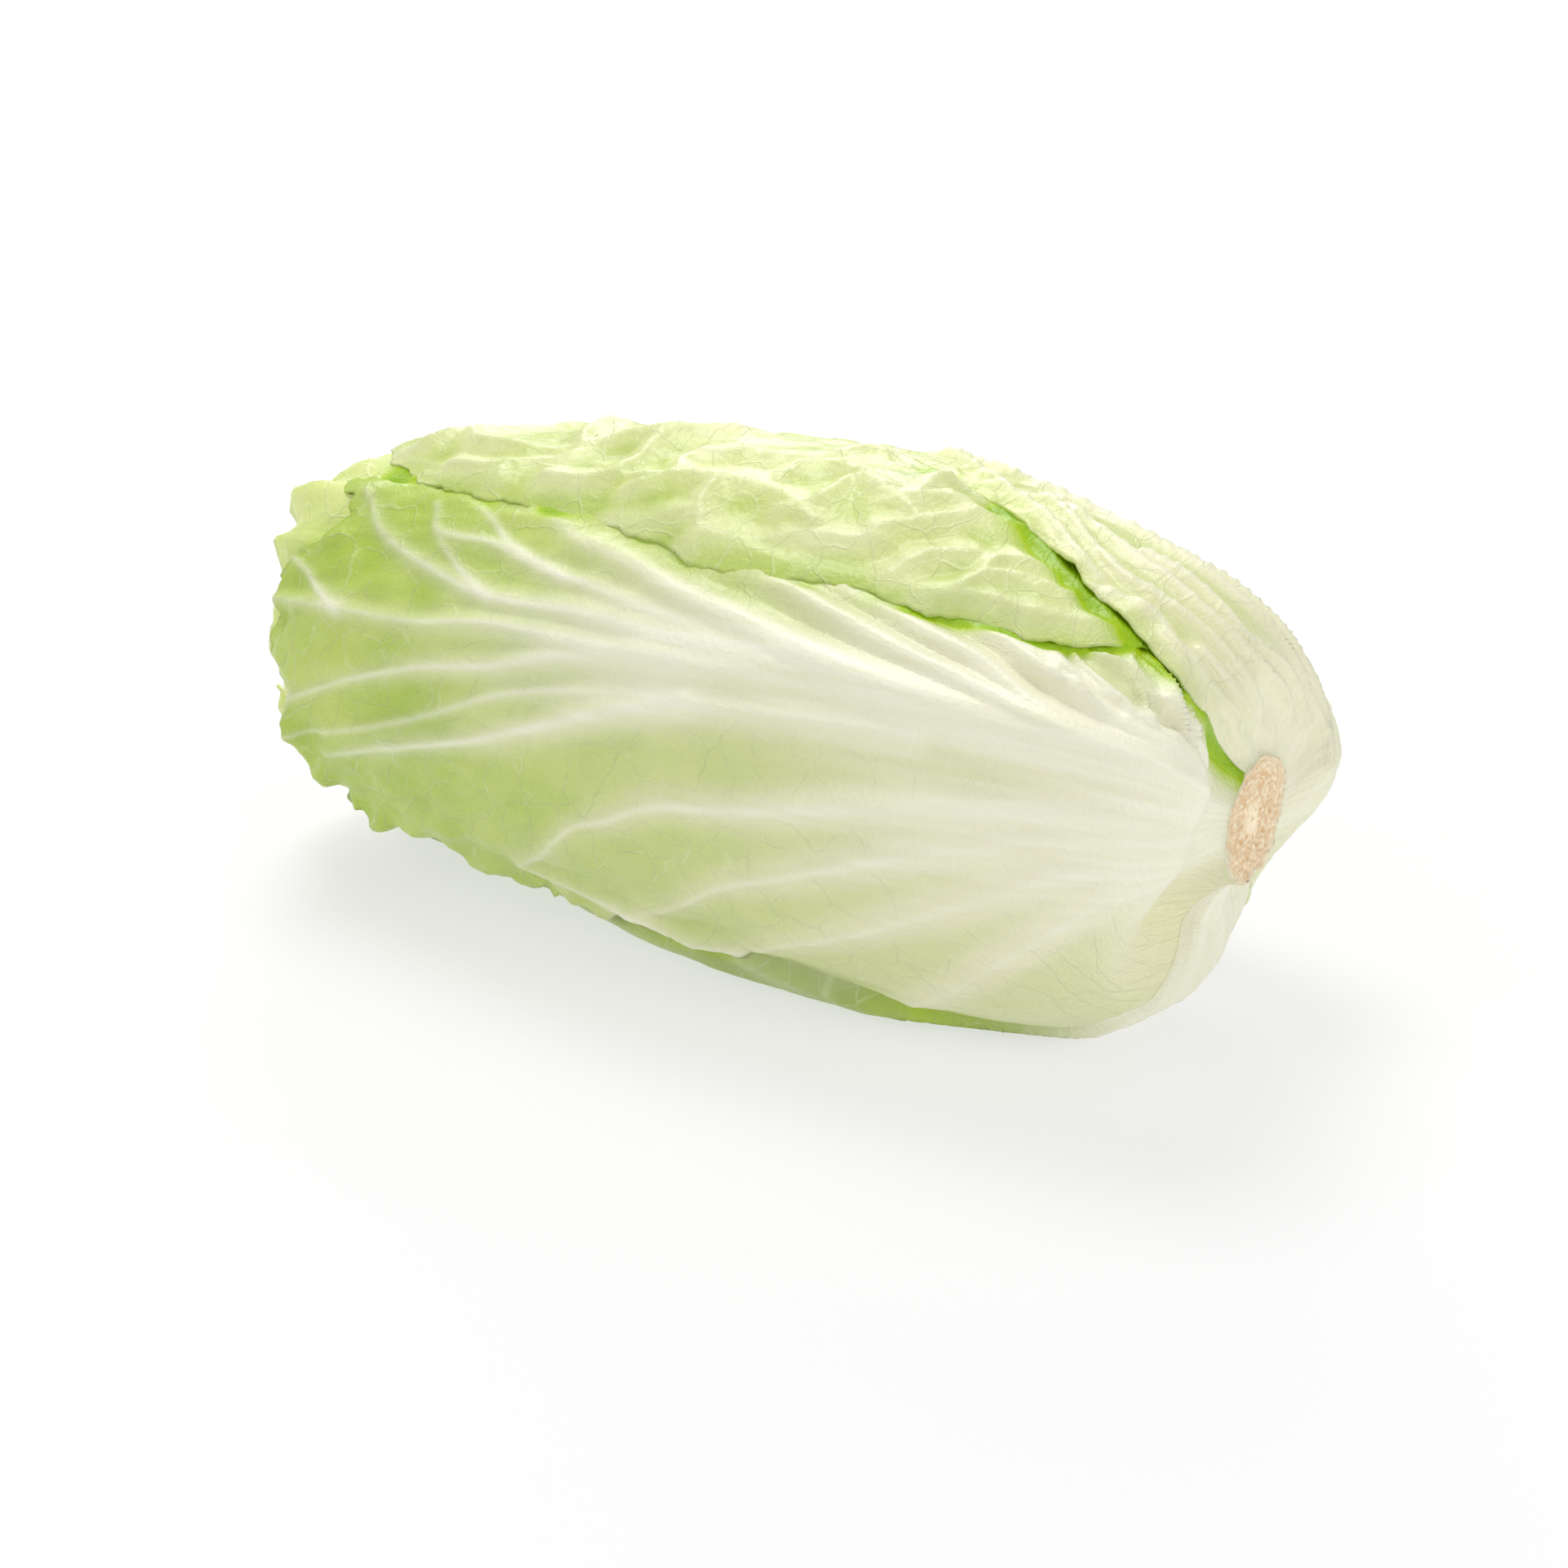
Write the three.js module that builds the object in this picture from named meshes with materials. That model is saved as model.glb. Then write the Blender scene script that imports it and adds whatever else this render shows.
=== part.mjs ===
// A head of napa cabbage (Chinese cabbage), picked, trimmed and lying on its side.
//
// The head is one short cone of stem with overlapping leaves on it. Every leaf is its own thin closed
// shell: it starts on the stem, runs round the bulge of the base and ends in a free margin near the
// leafy tip. +X is the cut stem, -X the leafy tip, -Y the front and +Z up. Millimetres and degrees.
//
// Places on the head are given in two head coordinates: `along` is the share of the head's outline
// from the stem (0) over the bulge to the closed tip (1), and `around` is the angle about the long
// axis from the top (0) by the front (90) and the underside (180) to the back (270 or -90).

import * as THREE from "three";

const RADIANS = Math.PI / 180;

// Driving dimensions.
const headLength = 303; // bulge of the base to the closed tip
const headHeight = 141; // across the widest section
const headWidth = 147;
const pressedDepth = 3; // how much of the soft underside is pressed flat on the ground
const stemRadius = 16.5; // at the cut
const stemTipRadius = 7;
const stemLength = 88;
const stemRecess = 3.5; // the cut lies this far inside the bulge of the leaf bases
const cutBevel = 1.2; // the worn edge round the cut
const outerPitch = 4.4; // from one outer leaf to the next, air gap included
const bladeThickness = 1.2;
const petioleThickness = 2.1; // at the middle of a leaf's base
const heartRadius = 12; // of the bud that is left in the middle
const stemClearance = 0.6; // between a leaf's base and the stem
const tuckLead = 4; // a covered leaf stays down for these degrees beyond a margin
const tuckAngle = 30; // and then rises to the surface over this angle
const tuckLength = 40; // beyond a tip it rises over this length
const pressedTuck = 8; // pressed on the ground it needs only this angle
const petioleWidth = 0.35; // share of a leaf's half-width over which its thick base thins to a blade
const petioleTaper = 1.5; // how fast it thins along the leaf
const heartRounding = 0.3; // share of the bud's length over which its base rounds in
const innerLeafCount = 14;
const leafTurn = 137.5; // from one leaf on the stem to the next inner one

// The head's outline from the stem to the tip: X as a share of headLength, then the radius and the
// rise of the section's centre above the stem's axis as shares of half the height.
const outlineNodes = [
  [0.452, 0.199, 0.0],
  [0.469, 0.369, 0.0],
  [0.47, 0.539, 0.028],
  [0.446, 0.695, 0.057],
  [0.396, 0.809, 0.071],
  [0.314, 0.908, 0.064],
  [0.198, 0.979, 0.05],
  [0.066, 1.0, 0.043],
  [-0.066, 0.972, 0.028],
  [-0.198, 0.915, 0.007],
  [-0.33, 0.837, -0.021],
  [-0.422, 0.759, -0.05],
  [-0.475, 0.667, -0.071],
  [-0.503, 0.511, -0.078],
  [-0.518, 0.312, -0.085],
  [-0.525, 0.06, -0.09],
];
// Inner leaves crowd towards the tip and the base: the head's X shrinks by these powers of the radius.
const tipPacking = 0.5;
const basePacking = 0.75;

// The outer leaves from the outermost inwards. `midrib` is the angle of the midrib; `plus` and `minus`
// are [along, degrees] from the midrib to the margin on either side; `tip` is how far along the end
// margin lies, from the minus side over the midrib to the plus side.
const outerLeaves = [
  {
    name: "back_leaf",
    midrib: -80,
    plus: [[0.02, 84], [0.05, 106], [0.09, 110], [0.14, 104], [0.2, 96], [0.27, 85], [0.36, 76], [0.5, 62],
      [0.65, 52], [0.82, 35]],
    minus: [[0.02, 60], [0.2, 68], [0.5, 64], [0.8, 52]],
    tip: [0.79, 0.85, 0.865, 0.83, 0.76],
  },
  {
    name: "top_leaf",
    midrib: -35,
    plus: [[0.04, 46], [0.13, 58], [0.18, 69], [0.26, 73], [0.37, 75], [0.47, 76], [0.54, 71], [0.6, 69],
      [0.69, 66], [0.745, 62], [0.78, 57], [0.82, 50], [0.87, 41]],
    minus: [[0.04, 60], [0.16, 80], [0.55, 85], [0.82, 70]],
    tip: [0.82, 0.865, 0.875, 0.87, 0.82],
  },
  {
    name: "front_leaf",
    midrib: 65,
    plus: [[0.04, 98], [0.16, 94], [0.3, 89], [0.38, 76], [0.52, 71], [0.65, 76], [0.85, 75]],
    minus: [[0.04, 38], [0.13, 41], [0.27, 50], [0.55, 50], [0.82, 42]],
    tip: [0.81, 0.872, 0.863, 0.855, 0.815],
  },
  {
    name: "under_leaf",
    midrib: 180,
    plus: [[0.04, 60], [0.2, 74], [0.6, 76], [0.8, 66]],
    minus: [[0.04, 60], [0.2, 74], [0.6, 76], [0.8, 66]],
    tip: [0.78, 0.83, 0.845, 0.83, 0.78],
  },
];
// The inner leaves share one outline and go round the stem by leafTurn. Their tips close the head.
const firstInnerMidrib = 20;
const innerSide = [[0.04, 86], [0.25, 96], [0.7, 94], [0.9, 84]];
const innerTip = [0.87, 0.925, 0.945, 0.925, 0.87];

// Mesh steps along and across a leaf.
const outerSteps = [15, 14];
const innerSteps = [12, 10];
const endCrowding = 0.6; // how much the rows crowd together at both ends, where the head curves most
const baseReach = 0.2; // every leaf leaves the stem within this share of the outline
const placeStep = 1e-5; // how closely a leaf's start along is searched for
const heartStep = 1e-3; // and the bud's
const heartSteps = [10, 14];
const stemSides = 24;

const halfHeight = headHeight / 2;
const lowestShare = Math.min(...outlineNodes.map(([, radius, rise]) => rise - radius));
const axisHeight = -lowestShare * halfHeight - pressedDepth; // of the stem's axis above the ground
const headScale = new THREE.Vector3(headLength, halfHeight, halfHeight);
const outline = new THREE.CatmullRomCurve3(
  outlineNodes.map((shares) => new THREE.Vector3(...shares).multiply(headScale)),
  false,
  "centripetal",
);
outline.arcLengthDivisions = 400;
const outlineLength = outline.getLength();
const widthRatio = headWidth / headHeight;
const stemCutX = Math.max(...outlineNodes.map(([x]) => x)) * headLength - stemRecess;

// A smooth value through [place, value] points, level beyond the first and the last.
function through(points, place) {
  const last = points.length - 1;
  if (place <= points[0][0]) return points[0][1];
  if (place >= points[last][0]) return points[last][1];
  const i = points.findIndex((p) => p[0] > place) - 1;
  const slope = (k) => {
    const [a, b] = [points[Math.max(k - 1, 0)], points[Math.min(k + 1, last)]];
    return (b[1] - a[1]) / (b[0] - a[0]);
  };
  const [[x0, y0], [x1, y1]] = [points[i], points[i + 1]];
  const h = x1 - x0;
  const q = (place - x0) / h;
  return (
    y0 * (1 + 2 * q) * (1 - q) ** 2 +
    slope(i) * h * q * (1 - q) ** 2 +
    y1 * q * q * (3 - 2 * q) +
    slope(i + 1) * h * q * q * (q - 1)
  );
}

// The margin across a leaf's end, where across runs from -1 to 1.
const tipAt = (leaf, across) => through(leaf.tip.map((along, i) => [i / 2 - 1, along]), across);
const sideAt = (leaf, along, plus) => through(plus ? leaf.plus : leaf.minus, along);
const fade = (share) => 1 - THREE.MathUtils.smoothstep(share, 0, 1);

// The share of the head's circumference that a leaf holds down, half of each tuck included.
const shareHeld = (leaf) =>
  (sideAt(leaf, 0.5, true) + sideAt(leaf, 0.5, false) + 2 * tuckLead + tuckAngle) / 360;
// The inner leaves fill the room between the outer leaves and the bud evenly.
const outerDepth = outerPitch * outerLeaves.reduce((sum, leaf) => sum + shareHeld(leaf), 0);
const innerHeld = shareHeld({ plus: innerSide, minus: innerSide });
const innerPitch = (halfHeight - heartRadius - outerDepth) / (innerLeafCount * innerHeld + 1);

// 1 where a leaf lies over a place on the head, fading to 0 over the tuck beyond its margins.
function cover(leaf, along, around, tuck) {
  const from = THREE.MathUtils.euclideanModulo(around - leaf.midrib + 180, 360) - 180;
  const side = sideAt(leaf, along, from >= 0);
  const tip = tipAt(leaf, THREE.MathUtils.clamp(from / side, -1, 1));
  return fade((Math.abs(from) - side - tuckLead) / tuck) * fade(((along - tip) * outlineLength) / tuckLength);
}

// How deep a leaf lies: one pitch for every leaf outside it, where that leaf covers it.
const depthUnder = (outside, along, around, tuck = tuckAngle) =>
  outside.reduce((sum, leaf) => sum + leaf.pitch * cover(leaf, along, around, tuck), 0);

// A point of the head at a depth under its surface, never lower than the leaves between it and the ground.
function headPoint(along, around, depth, ground = depth) {
  const { x, y: radius, z: rise } = outline.getPointAt(THREE.MathUtils.clamp(along, 0, 1));
  const shrink = 1 - depth / halfHeight;
  const angle = around * RADIANS;
  const height = axisHeight + (rise + radius * Math.cos(angle)) * shrink;
  return new THREE.Vector3(
    x * shrink ** (x > 0 ? basePacking : tipPacking),
    -widthRatio * radius * shrink * Math.sin(angle),
    Math.max(height, ground),
  );
}

// The stem's radius at a place on its axis.
const stemRadiusAt = (x) =>
  THREE.MathUtils.mapLinear(
    THREE.MathUtils.clamp(x, stemCutX - stemLength, stemCutX),
    stemCutX - stemLength,
    stemCutX,
    stemTipRadius,
    stemRadius,
  );

// Where a leaf's inner face meets the stem, found by halving: the first place along that clears it.
function baseAlong(outside, around, thickness) {
  const clears = (along) => {
    const p = headPoint(along, around, depthUnder(outside, along, around) + thickness);
    return Math.hypot(p.y, p.z - axisHeight) >= stemRadiusAt(p.x) + stemClearance;
  };
  let [low, high] = [0, baseReach];
  while (high - low > placeStep) {
    const middle = (low + high) / 2;
    if (clears(middle)) high = middle;
    else low = middle;
  }
  return high;
}

// A closed shell between two grids of points with the same steps, outer over inner.
function shellBetween(outer, inner) {
  const rows = outer.length;
  const columns = outer[0].length;
  const corners = [...outer.flat(), ...inner.flat()];
  const index = [];
  const quad = (a, b, c, d) => index.push(a, b, c, a, c, d);
  const at = (i, j) => i * columns + j;
  const under = (i, j) => rows * columns + at(i, j);
  for (let i = 0; i + 1 < rows; i++) {
    for (let j = 0; j + 1 < columns; j++) {
      quad(at(i, j), at(i + 1, j), at(i + 1, j + 1), at(i, j + 1));
      quad(under(i, j), under(i, j + 1), under(i + 1, j + 1), under(i + 1, j));
    }
  }
  for (let j = 0; j + 1 < columns; j++) {
    quad(at(0, j), at(0, j + 1), under(0, j + 1), under(0, j));
    quad(at(rows - 1, j + 1), at(rows - 1, j), under(rows - 1, j), under(rows - 1, j + 1));
  }
  for (let i = 0; i + 1 < rows; i++) {
    quad(at(i + 1, 0), at(i, 0), under(i, 0), under(i + 1, 0));
    quad(at(i, columns - 1), at(i + 1, columns - 1), under(i + 1, columns - 1), under(i, columns - 1));
  }
  return new THREE.BufferGeometry().setFromPoints(corners).setIndex(index);
}

// One leaf: rows run from the stem to the end margin, columns from the minus margin to the plus margin.
function leafGeometry(leaf, outside) {
  const [rows, columns] = leaf.steps;
  const outer = [];
  const inner = [];
  for (let i = 0; i <= rows; i++) {
    outer.push([]);
    inner.push([]);
    for (let j = 0; j <= columns; j++) {
      const across = (2 * j) / columns - 1;
      const even = i / rows;
      const share = THREE.MathUtils.lerp(even, THREE.MathUtils.smoothstep(even, 0, 1), endCrowding);
      const petiole = Math.exp(-((across / petioleWidth) ** 2)) * (1 - share) ** petioleTaper;
      const thickness = THREE.MathUtils.lerp(bladeThickness, petioleThickness, petiole);
      const around = (along) => leaf.midrib + across * sideAt(leaf, along, across >= 0);
      const start = baseAlong(outside, around(0), thickness);
      const along = THREE.MathUtils.lerp(start, tipAt(leaf, across), share);
      const depth = depthUnder(outside, along, around(along));
      const ground = depthUnder(outside, along, around(along), pressedTuck);
      outer[i].push(headPoint(along, around(along), depth, ground));
      inner[i].push(headPoint(along, around(along), depth + thickness, ground + thickness));
    }
  }
  return shellBetween(outer, inner);
}

// The unopened bud inside the innermost leaves: a closed ovoid one pitch under them, from the stem's tip.
function heartGeometry(outside) {
  const [rows, sides] = heartSteps;
  const under = (along, around) => headPoint(along, around, depthUnder(outside, along, around) + innerPitch);
  const baseX = stemCutX - stemLength - stemClearance;
  const quarters = [0, 90, 180, 270];
  let base = 0;
  while (quarters.some((around) => under(base, around).x > baseX)) base += heartStep;
  const point = (i, j) => {
    const share = i / rows;
    const p = under(THREE.MathUtils.lerp(base, 1, share), (360 * j) / sides);
    const width = Math.sqrt(Math.min(share / heartRounding, 1));
    return new THREE.Vector3(Math.min(p.x, baseX), p.y * width, axisHeight + (p.z - axisHeight) * width);
  };
  const rings = [];
  for (let i = 1; i < rows; i++) rings.push(Array.from({ length: sides }, (_, j) => point(i, j)));
  const centreOf = (ring) => ring.reduce((sum, p) => sum.add(p), new THREE.Vector3()).divideScalar(sides);
  const corners = [...rings.flat(), centreOf(rings[0]), centreOf(rings[rings.length - 1])];
  const [basePole, tipPole] = [corners.length - 2, corners.length - 1];
  const index = [];
  for (let j = 0; j < sides; j++) {
    const next = (j + 1) % sides;
    index.push(basePole, j, next);
    for (let i = 0; i + 1 < rings.length; i++) {
      const [a, b] = [i * sides + j, i * sides + next];
      index.push(a, a + sides, b + sides, a, b + sides, b);
    }
    index.push(tipPole, (rings.length - 1) * sides + next, (rings.length - 1) * sides + j);
  }
  return new THREE.BufferGeometry().setFromPoints(corners).setIndex(index);
}

// The stem: a cone with a bevelled cut at its thick end, turned from the lathe's Y to +X.
function stemGeometry() {
  const profile = [
    new THREE.Vector2(0, 0),
    new THREE.Vector2(stemTipRadius, 0),
    new THREE.Vector2(stemRadius, stemLength - cutBevel),
    new THREE.Vector2(stemRadius - cutBevel, stemLength),
    new THREE.Vector2(0, stemLength),
  ];
  return new THREE.LatheGeometry(profile, stemSides).rotateZ(-Math.PI / 2);
}

const leafGreen = new THREE.MeshStandardMaterial({ name: "outer_leaf", color: 0xc9dc96, roughness: 0.45 });
const heartGreen = new THREE.MeshStandardMaterial({ name: "inner_leaf", color: 0xe6ecae, roughness: 0.45 });
const stemTan = new THREE.MeshStandardMaterial({ name: "stem", color: 0xead6b4, roughness: 0.7 });

const innerLeaves = Array.from({ length: innerLeafCount }, (_, i) => ({
  name: `inner_leaf_${String(i + 1).padStart(2, "0")}`,
  midrib: firstInnerMidrib + i * leafTurn,
  plus: innerSide,
  minus: innerSide,
  tip: innerTip,
  pitch: innerPitch,
  steps: innerSteps,
  material: heartGreen,
}));
const leaves = [
  ...outerLeaves.map((leaf) => ({ ...leaf, pitch: outerPitch, steps: outerSteps, material: leafGreen })),
  ...innerLeaves,
];

const head = new THREE.Group();
function add(name, geometry, material) {
  geometry.computeVertexNormals();
  const mesh = new THREE.Mesh(geometry, material);
  mesh.name = name;
  head.add(mesh);
  return mesh;
}
leaves.forEach((leaf, i) => add(leaf.name, leafGeometry(leaf, leaves.slice(0, i)), leaf.material));
add("heart_bud", heartGeometry(leaves), heartGreen);
const stem = add("stem", stemGeometry(), stemTan);
stem.position.set(stemCutX - stemLength, 0, axisHeight);

// The origin is under the middle of the head, on the ground.
const box = new THREE.Box3().setFromObject(head, true);
const middle = box.getCenter(new THREE.Vector3());
head.position.set(-middle.x, -middle.y, -box.min.z);

export default head;
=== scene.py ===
# %% [markdown]
# # A head of napa cabbage
#
# A napa cabbage is a short stem with long leaves wrapped over each other. Each leaf has a broad white
# rib at its base, which fans out into veins, and a thin crinkled green blade towards its free margin.
# The head lies on its side, with its cut stem towards +X and its leafy end towards -X.
#
# A leaf could be sculpted by hand, or cut from a wrinkled cloth. Here every leaf is a grid of points
# worked out from two numbers: how far along the head it is and how far around. That keeps the leaves
# nested like the real ones, and puts each vein, fold and tooth where it is wanted.

import bpy
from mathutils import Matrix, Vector
import numpy as np


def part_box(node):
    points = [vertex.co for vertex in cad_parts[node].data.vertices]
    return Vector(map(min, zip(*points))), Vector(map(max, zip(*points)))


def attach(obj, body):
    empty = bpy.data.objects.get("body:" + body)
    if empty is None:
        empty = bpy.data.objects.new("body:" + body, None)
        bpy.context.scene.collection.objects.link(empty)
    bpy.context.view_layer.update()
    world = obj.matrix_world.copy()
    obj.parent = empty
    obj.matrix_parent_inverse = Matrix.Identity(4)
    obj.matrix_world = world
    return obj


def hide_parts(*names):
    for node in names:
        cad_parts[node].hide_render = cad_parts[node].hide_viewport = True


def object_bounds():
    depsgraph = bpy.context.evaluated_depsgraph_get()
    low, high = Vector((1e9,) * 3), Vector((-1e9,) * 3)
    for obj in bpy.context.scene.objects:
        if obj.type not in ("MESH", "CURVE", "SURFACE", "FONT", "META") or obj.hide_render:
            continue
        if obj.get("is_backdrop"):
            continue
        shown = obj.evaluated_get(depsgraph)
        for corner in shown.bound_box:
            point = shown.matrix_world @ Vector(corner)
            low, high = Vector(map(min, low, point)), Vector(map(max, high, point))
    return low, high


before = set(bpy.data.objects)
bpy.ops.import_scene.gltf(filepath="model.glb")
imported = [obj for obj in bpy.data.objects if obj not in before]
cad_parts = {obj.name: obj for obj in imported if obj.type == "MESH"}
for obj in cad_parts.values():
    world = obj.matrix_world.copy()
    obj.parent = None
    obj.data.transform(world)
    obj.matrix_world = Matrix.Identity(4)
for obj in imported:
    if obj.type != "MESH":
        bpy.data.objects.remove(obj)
cad_low, cad_high = (np.array(corner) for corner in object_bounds())
MM = 0.001
print("frame box in mm", (cad_high - cad_low) / MM)

# %% [markdown]
# ## The form of the head
#
# The smooth form under the wrinkles is an outline turned about the long axis: radius against length,
# as on a lathe, but a little wider than high, and pressed flat where it lies. A place on it is given
# by `along`, the share of the outline from the stem over the bulge to the closed tip, and `around`,
# in degrees from the top by the front (90) and the underside (180) to the back (270).

# %% The outline of the head
PRESSED = 3.0  # how much of the soft underside is pressed flat, in mm
TIP_SHARE = 1.0144  # length to the closed tip over length to the longest leaf's margin
size = (cad_high - cad_low) / MM
HEAD_LENGTH = size[0] * TIP_SHARE
HALF_HEIGHT = (size[2] + PRESSED) / 2
WIDTH_RATIO = size[1] / (2 * HALF_HEIGHT)
stem_low, stem_high = (np.array(corner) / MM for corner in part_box("stem"))
AXIS_HEIGHT = (stem_low[2] + stem_high[2]) / 2

# X as a share of the head's length, then radius and rise of the centre as shares of half the height
OUTLINE = np.array([
    (0.452, 0.199, 0.0), (0.469, 0.369, 0.0), (0.47, 0.539, 0.028), (0.446, 0.695, 0.057),
    (0.396, 0.809, 0.071), (0.314, 0.908, 0.064), (0.198, 0.979, 0.05), (0.066, 1.0, 0.043),
    (-0.066, 0.972, 0.028), (-0.198, 0.915, 0.007), (-0.33, 0.837, -0.021), (-0.422, 0.759, -0.05),
    (-0.475, 0.667, -0.071), (-0.503, 0.511, -0.078), (-0.518, 0.312, -0.085), (-0.525, 0.06, -0.09),
])


def smooth_through(places, values, at):
    """A cubic through (place, value) points: each stretch is a Hermite curve whose end slopes are
    those of the chord between the points on either side. Level beyond the first and the last."""
    places, values = np.asarray(places, float), np.asarray(values, float)
    at = np.clip(at, places[0], places[-1])
    slopes = np.gradient(values, places)
    i = np.clip(np.searchsorted(places, at, side="right") - 1, 0, len(places) - 2)
    step = places[i + 1] - places[i]
    q = (at - places[i]) / step
    return (
        values[i] * (1 + 2 * q) * (1 - q) ** 2
        + slopes[i] * step * q * (1 - q) ** 2
        + values[i + 1] * q * q * (3 - 2 * q)
        + slopes[i + 1] * step * q * q * (q - 1)
    )


scaled = OUTLINE * (HEAD_LENGTH, HALF_HEIGHT, HALF_HEIGHT)
chord = np.concatenate([[0], np.cumsum(np.linalg.norm(np.diff(scaled[:, :2], axis=0), axis=1))])
fine = np.linspace(0, chord[-1], 2000)
fine_outline = np.stack([smooth_through(chord, scaled[:, k], fine) for k in range(3)], axis=1)
fine_length = np.concatenate([[0], np.cumsum(np.linalg.norm(np.diff(fine_outline, axis=0), axis=1))])
OUTLINE_LENGTH = fine_length[-1]
SHIFT_X = cad_high[0] / MM - fine_outline[:, 0].max()
print("outline length", round(OUTLINE_LENGTH, 1), "mm, axis height", round(AXIS_HEIGHT, 1), "mm")

# %% A point of the head
TIP_PACKING = 0.5  # inner leaves crowd towards the tip and the base: powers of the shrunk radius
BASE_PACKING = 0.75
BASE_LEAN = 17.0  # mm that the lower side of the base is drawn in,
FRONT_LEAN = 6.5  # the front side beside the stem,
TOP_LEAN = 6.0  # and the upper side, which also sinks by as much
LOWER_SINK = 5.0  # mm that the lower side sinks behind the base


def smoothstep(low, high, value):
    """0 below low, 1 above high, and a smooth S between them."""
    q = np.clip((value - low) / (high - low), 0, 1)
    return q * q * (3 - 2 * q)


def head_point(along, around, depth, ground):
    """The outline at `along`, shrunk by `depth` about the long axis and turned by `around`, and
    never lower than `ground`. The base leans in on three sides and sinks on two. All in mm."""
    place = np.clip(along, 0, 1) * OUTLINE_LENGTH
    x, radius, rise = (np.interp(place, fine_length, fine_outline[:, k]) for k in range(3))
    shrink = 1 - depth / HALF_HEIGHT
    angle = np.radians(around)
    height = AXIS_HEIGHT + (rise + radius * np.cos(angle)) * shrink
    lean = BASE_LEAN * (1 - smoothstep(0.05, 0.21, along)) * smoothstep(0.0, 0.9, -np.cos(angle + 0.1))
    lean = lean + FRONT_LEAN * (1 - smoothstep(0.02, 0.16, along)) * smoothstep(0.1, 0.8, np.sin(angle))
    upper = smoothstep(0.2, 0.9, np.cos(angle + 0.3))
    lean = lean + TOP_LEAN * (1 - smoothstep(0.1, 0.3, along)) * upper
    lower = smoothstep(0.3, 0.95, -np.cos(angle + 0.4))
    sink = smoothstep(0.03, 0.12, along) * (1 - smoothstep(0.2, 0.42, along))
    sink = sink * (TOP_LEAN * upper + LOWER_SINK * lower)
    return np.stack([
        x * shrink ** np.where(x > 0, BASE_PACKING, TIP_PACKING) + SHIFT_X - lean,
        -WIDTH_RATIO * radius * shrink * np.sin(angle),
        np.maximum(height - sink, ground),
    ], axis=-1)


WIDEST = fine_length[np.argmax(fine_outline[:, 1])] / OUTLINE_LENGTH
print("widest at", head_point(WIDEST, 90, 0, 0).round(1), "mm")


# %% [markdown]
# ## The leaves and how they overlap
#
# A leaf is listed by its midrib's angle, by how wide it is on either side of the midrib from its
# base to its tip, and by how far its end margin reaches. The outermost leaf comes first. A leaf lies
# one pitch deeper wherever a leaf outside it covers it, and rises to the surface beyond its margins.

# %% The list of leaves
OUTER_PITCH = 3.7  # from one outer leaf to the next, in mm
OUTER_LEAVES = [
    dict(name="back_leaf", midrib=-80, slit=1.3,
         plus=[(0.02, 104), (0.05, 108), (0.09, 110), (0.14, 104), (0.2, 96), (0.27, 85), (0.36, 76),
               (0.5, 62), (0.65, 52), (0.82, 35)],
         minus=[(0.02, 60), (0.2, 68), (0.5, 64), (0.8, 52)],
         tip=[0.79, 0.85, 0.865, 0.83, 0.76]),
    dict(name="top_leaf", midrib=-35, teeth=1.3, slit=0.65,
         plus=[(0.04, 46), (0.13, 58), (0.18, 69), (0.26, 73), (0.37, 75), (0.47, 76), (0.54, 71),
               (0.6, 69), (0.69, 66), (0.745, 62), (0.78, 57), (0.82, 50), (0.87, 41)],
         minus=[(0.04, 60), (0.16, 80), (0.55, 85), (0.82, 70)],
         tip=[0.82, 0.865, 0.875, 0.87, 0.82]),
    dict(name="front_leaf", midrib=65, teeth=1.5,
         plus=[(0.04, 98), (0.16, 94), (0.24, 88), (0.3, 82), (0.38, 73), (0.52, 72), (0.62, 77),
               (0.7, 76), (0.78, 70), (0.85, 70)],
         minus=[(0.04, 54), (0.13, 50), (0.27, 52), (0.55, 50), (0.82, 42)],
         tip=[0.86, 0.812, 0.832, 0.86, 0.856, 0.852, 0.846, 0.834, 0.81]),
    dict(name="under_leaf", midrib=180,
         plus=[(0.04, 60), (0.2, 74), (0.6, 76), (0.8, 66)],
         minus=[(0.04, 60), (0.2, 74), (0.6, 76), (0.8, 66)],
         tip=[0.78, 0.83, 0.845, 0.83, 0.78]),
]
INNER_COUNT = sum(name.startswith("inner_leaf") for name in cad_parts)
FIRST_INNER_MIDRIB = 20
LEAF_TURN = 137.5  # degrees from one leaf on the stem to the next inner one
INNER_SIDE = [(0.04, 86), (0.25, 96), (0.7, 94), (0.9, 84)]
INNER_TIP = [0.86, 0.91, 0.92, 0.885, 0.85]
HEART_RADIUS = 12.0
TUCK_LEAD = 4.0  # a covered leaf stays down for these degrees beyond a margin,
TUCK_ANGLE = 30.0  # then rises over these,
PRESSED_TUCK = 8.0  # or over these where it is pressed on the ground
TUCK_LENGTH = 40.0  # beyond a tip it rises over these mm
CLOSE_LEAD = -20.0  # the outer leaves cling to each other, so these begin to rise before the margin,
CLOSE_LENGTH = -8.0  # and these mm before the tip


def outline_radius(along):
    """The outline's radius in mm at a share of its length."""
    return np.interp(along * OUTLINE_LENGTH, fine_length, fine_outline[:, 1])


def turned_from(around, middle):
    """Degrees from one angle round the head to another, from -180 to 180."""
    return (around - middle + 180) % 360 - 180


def side_at(leaf, along, plus):
    """How many degrees a leaf's margin is from its midrib."""
    right = smooth_through(*zip(*leaf["plus"]), along)
    left = smooth_through(*zip(*leaf["minus"]), along)
    return np.where(plus, right, left)


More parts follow.
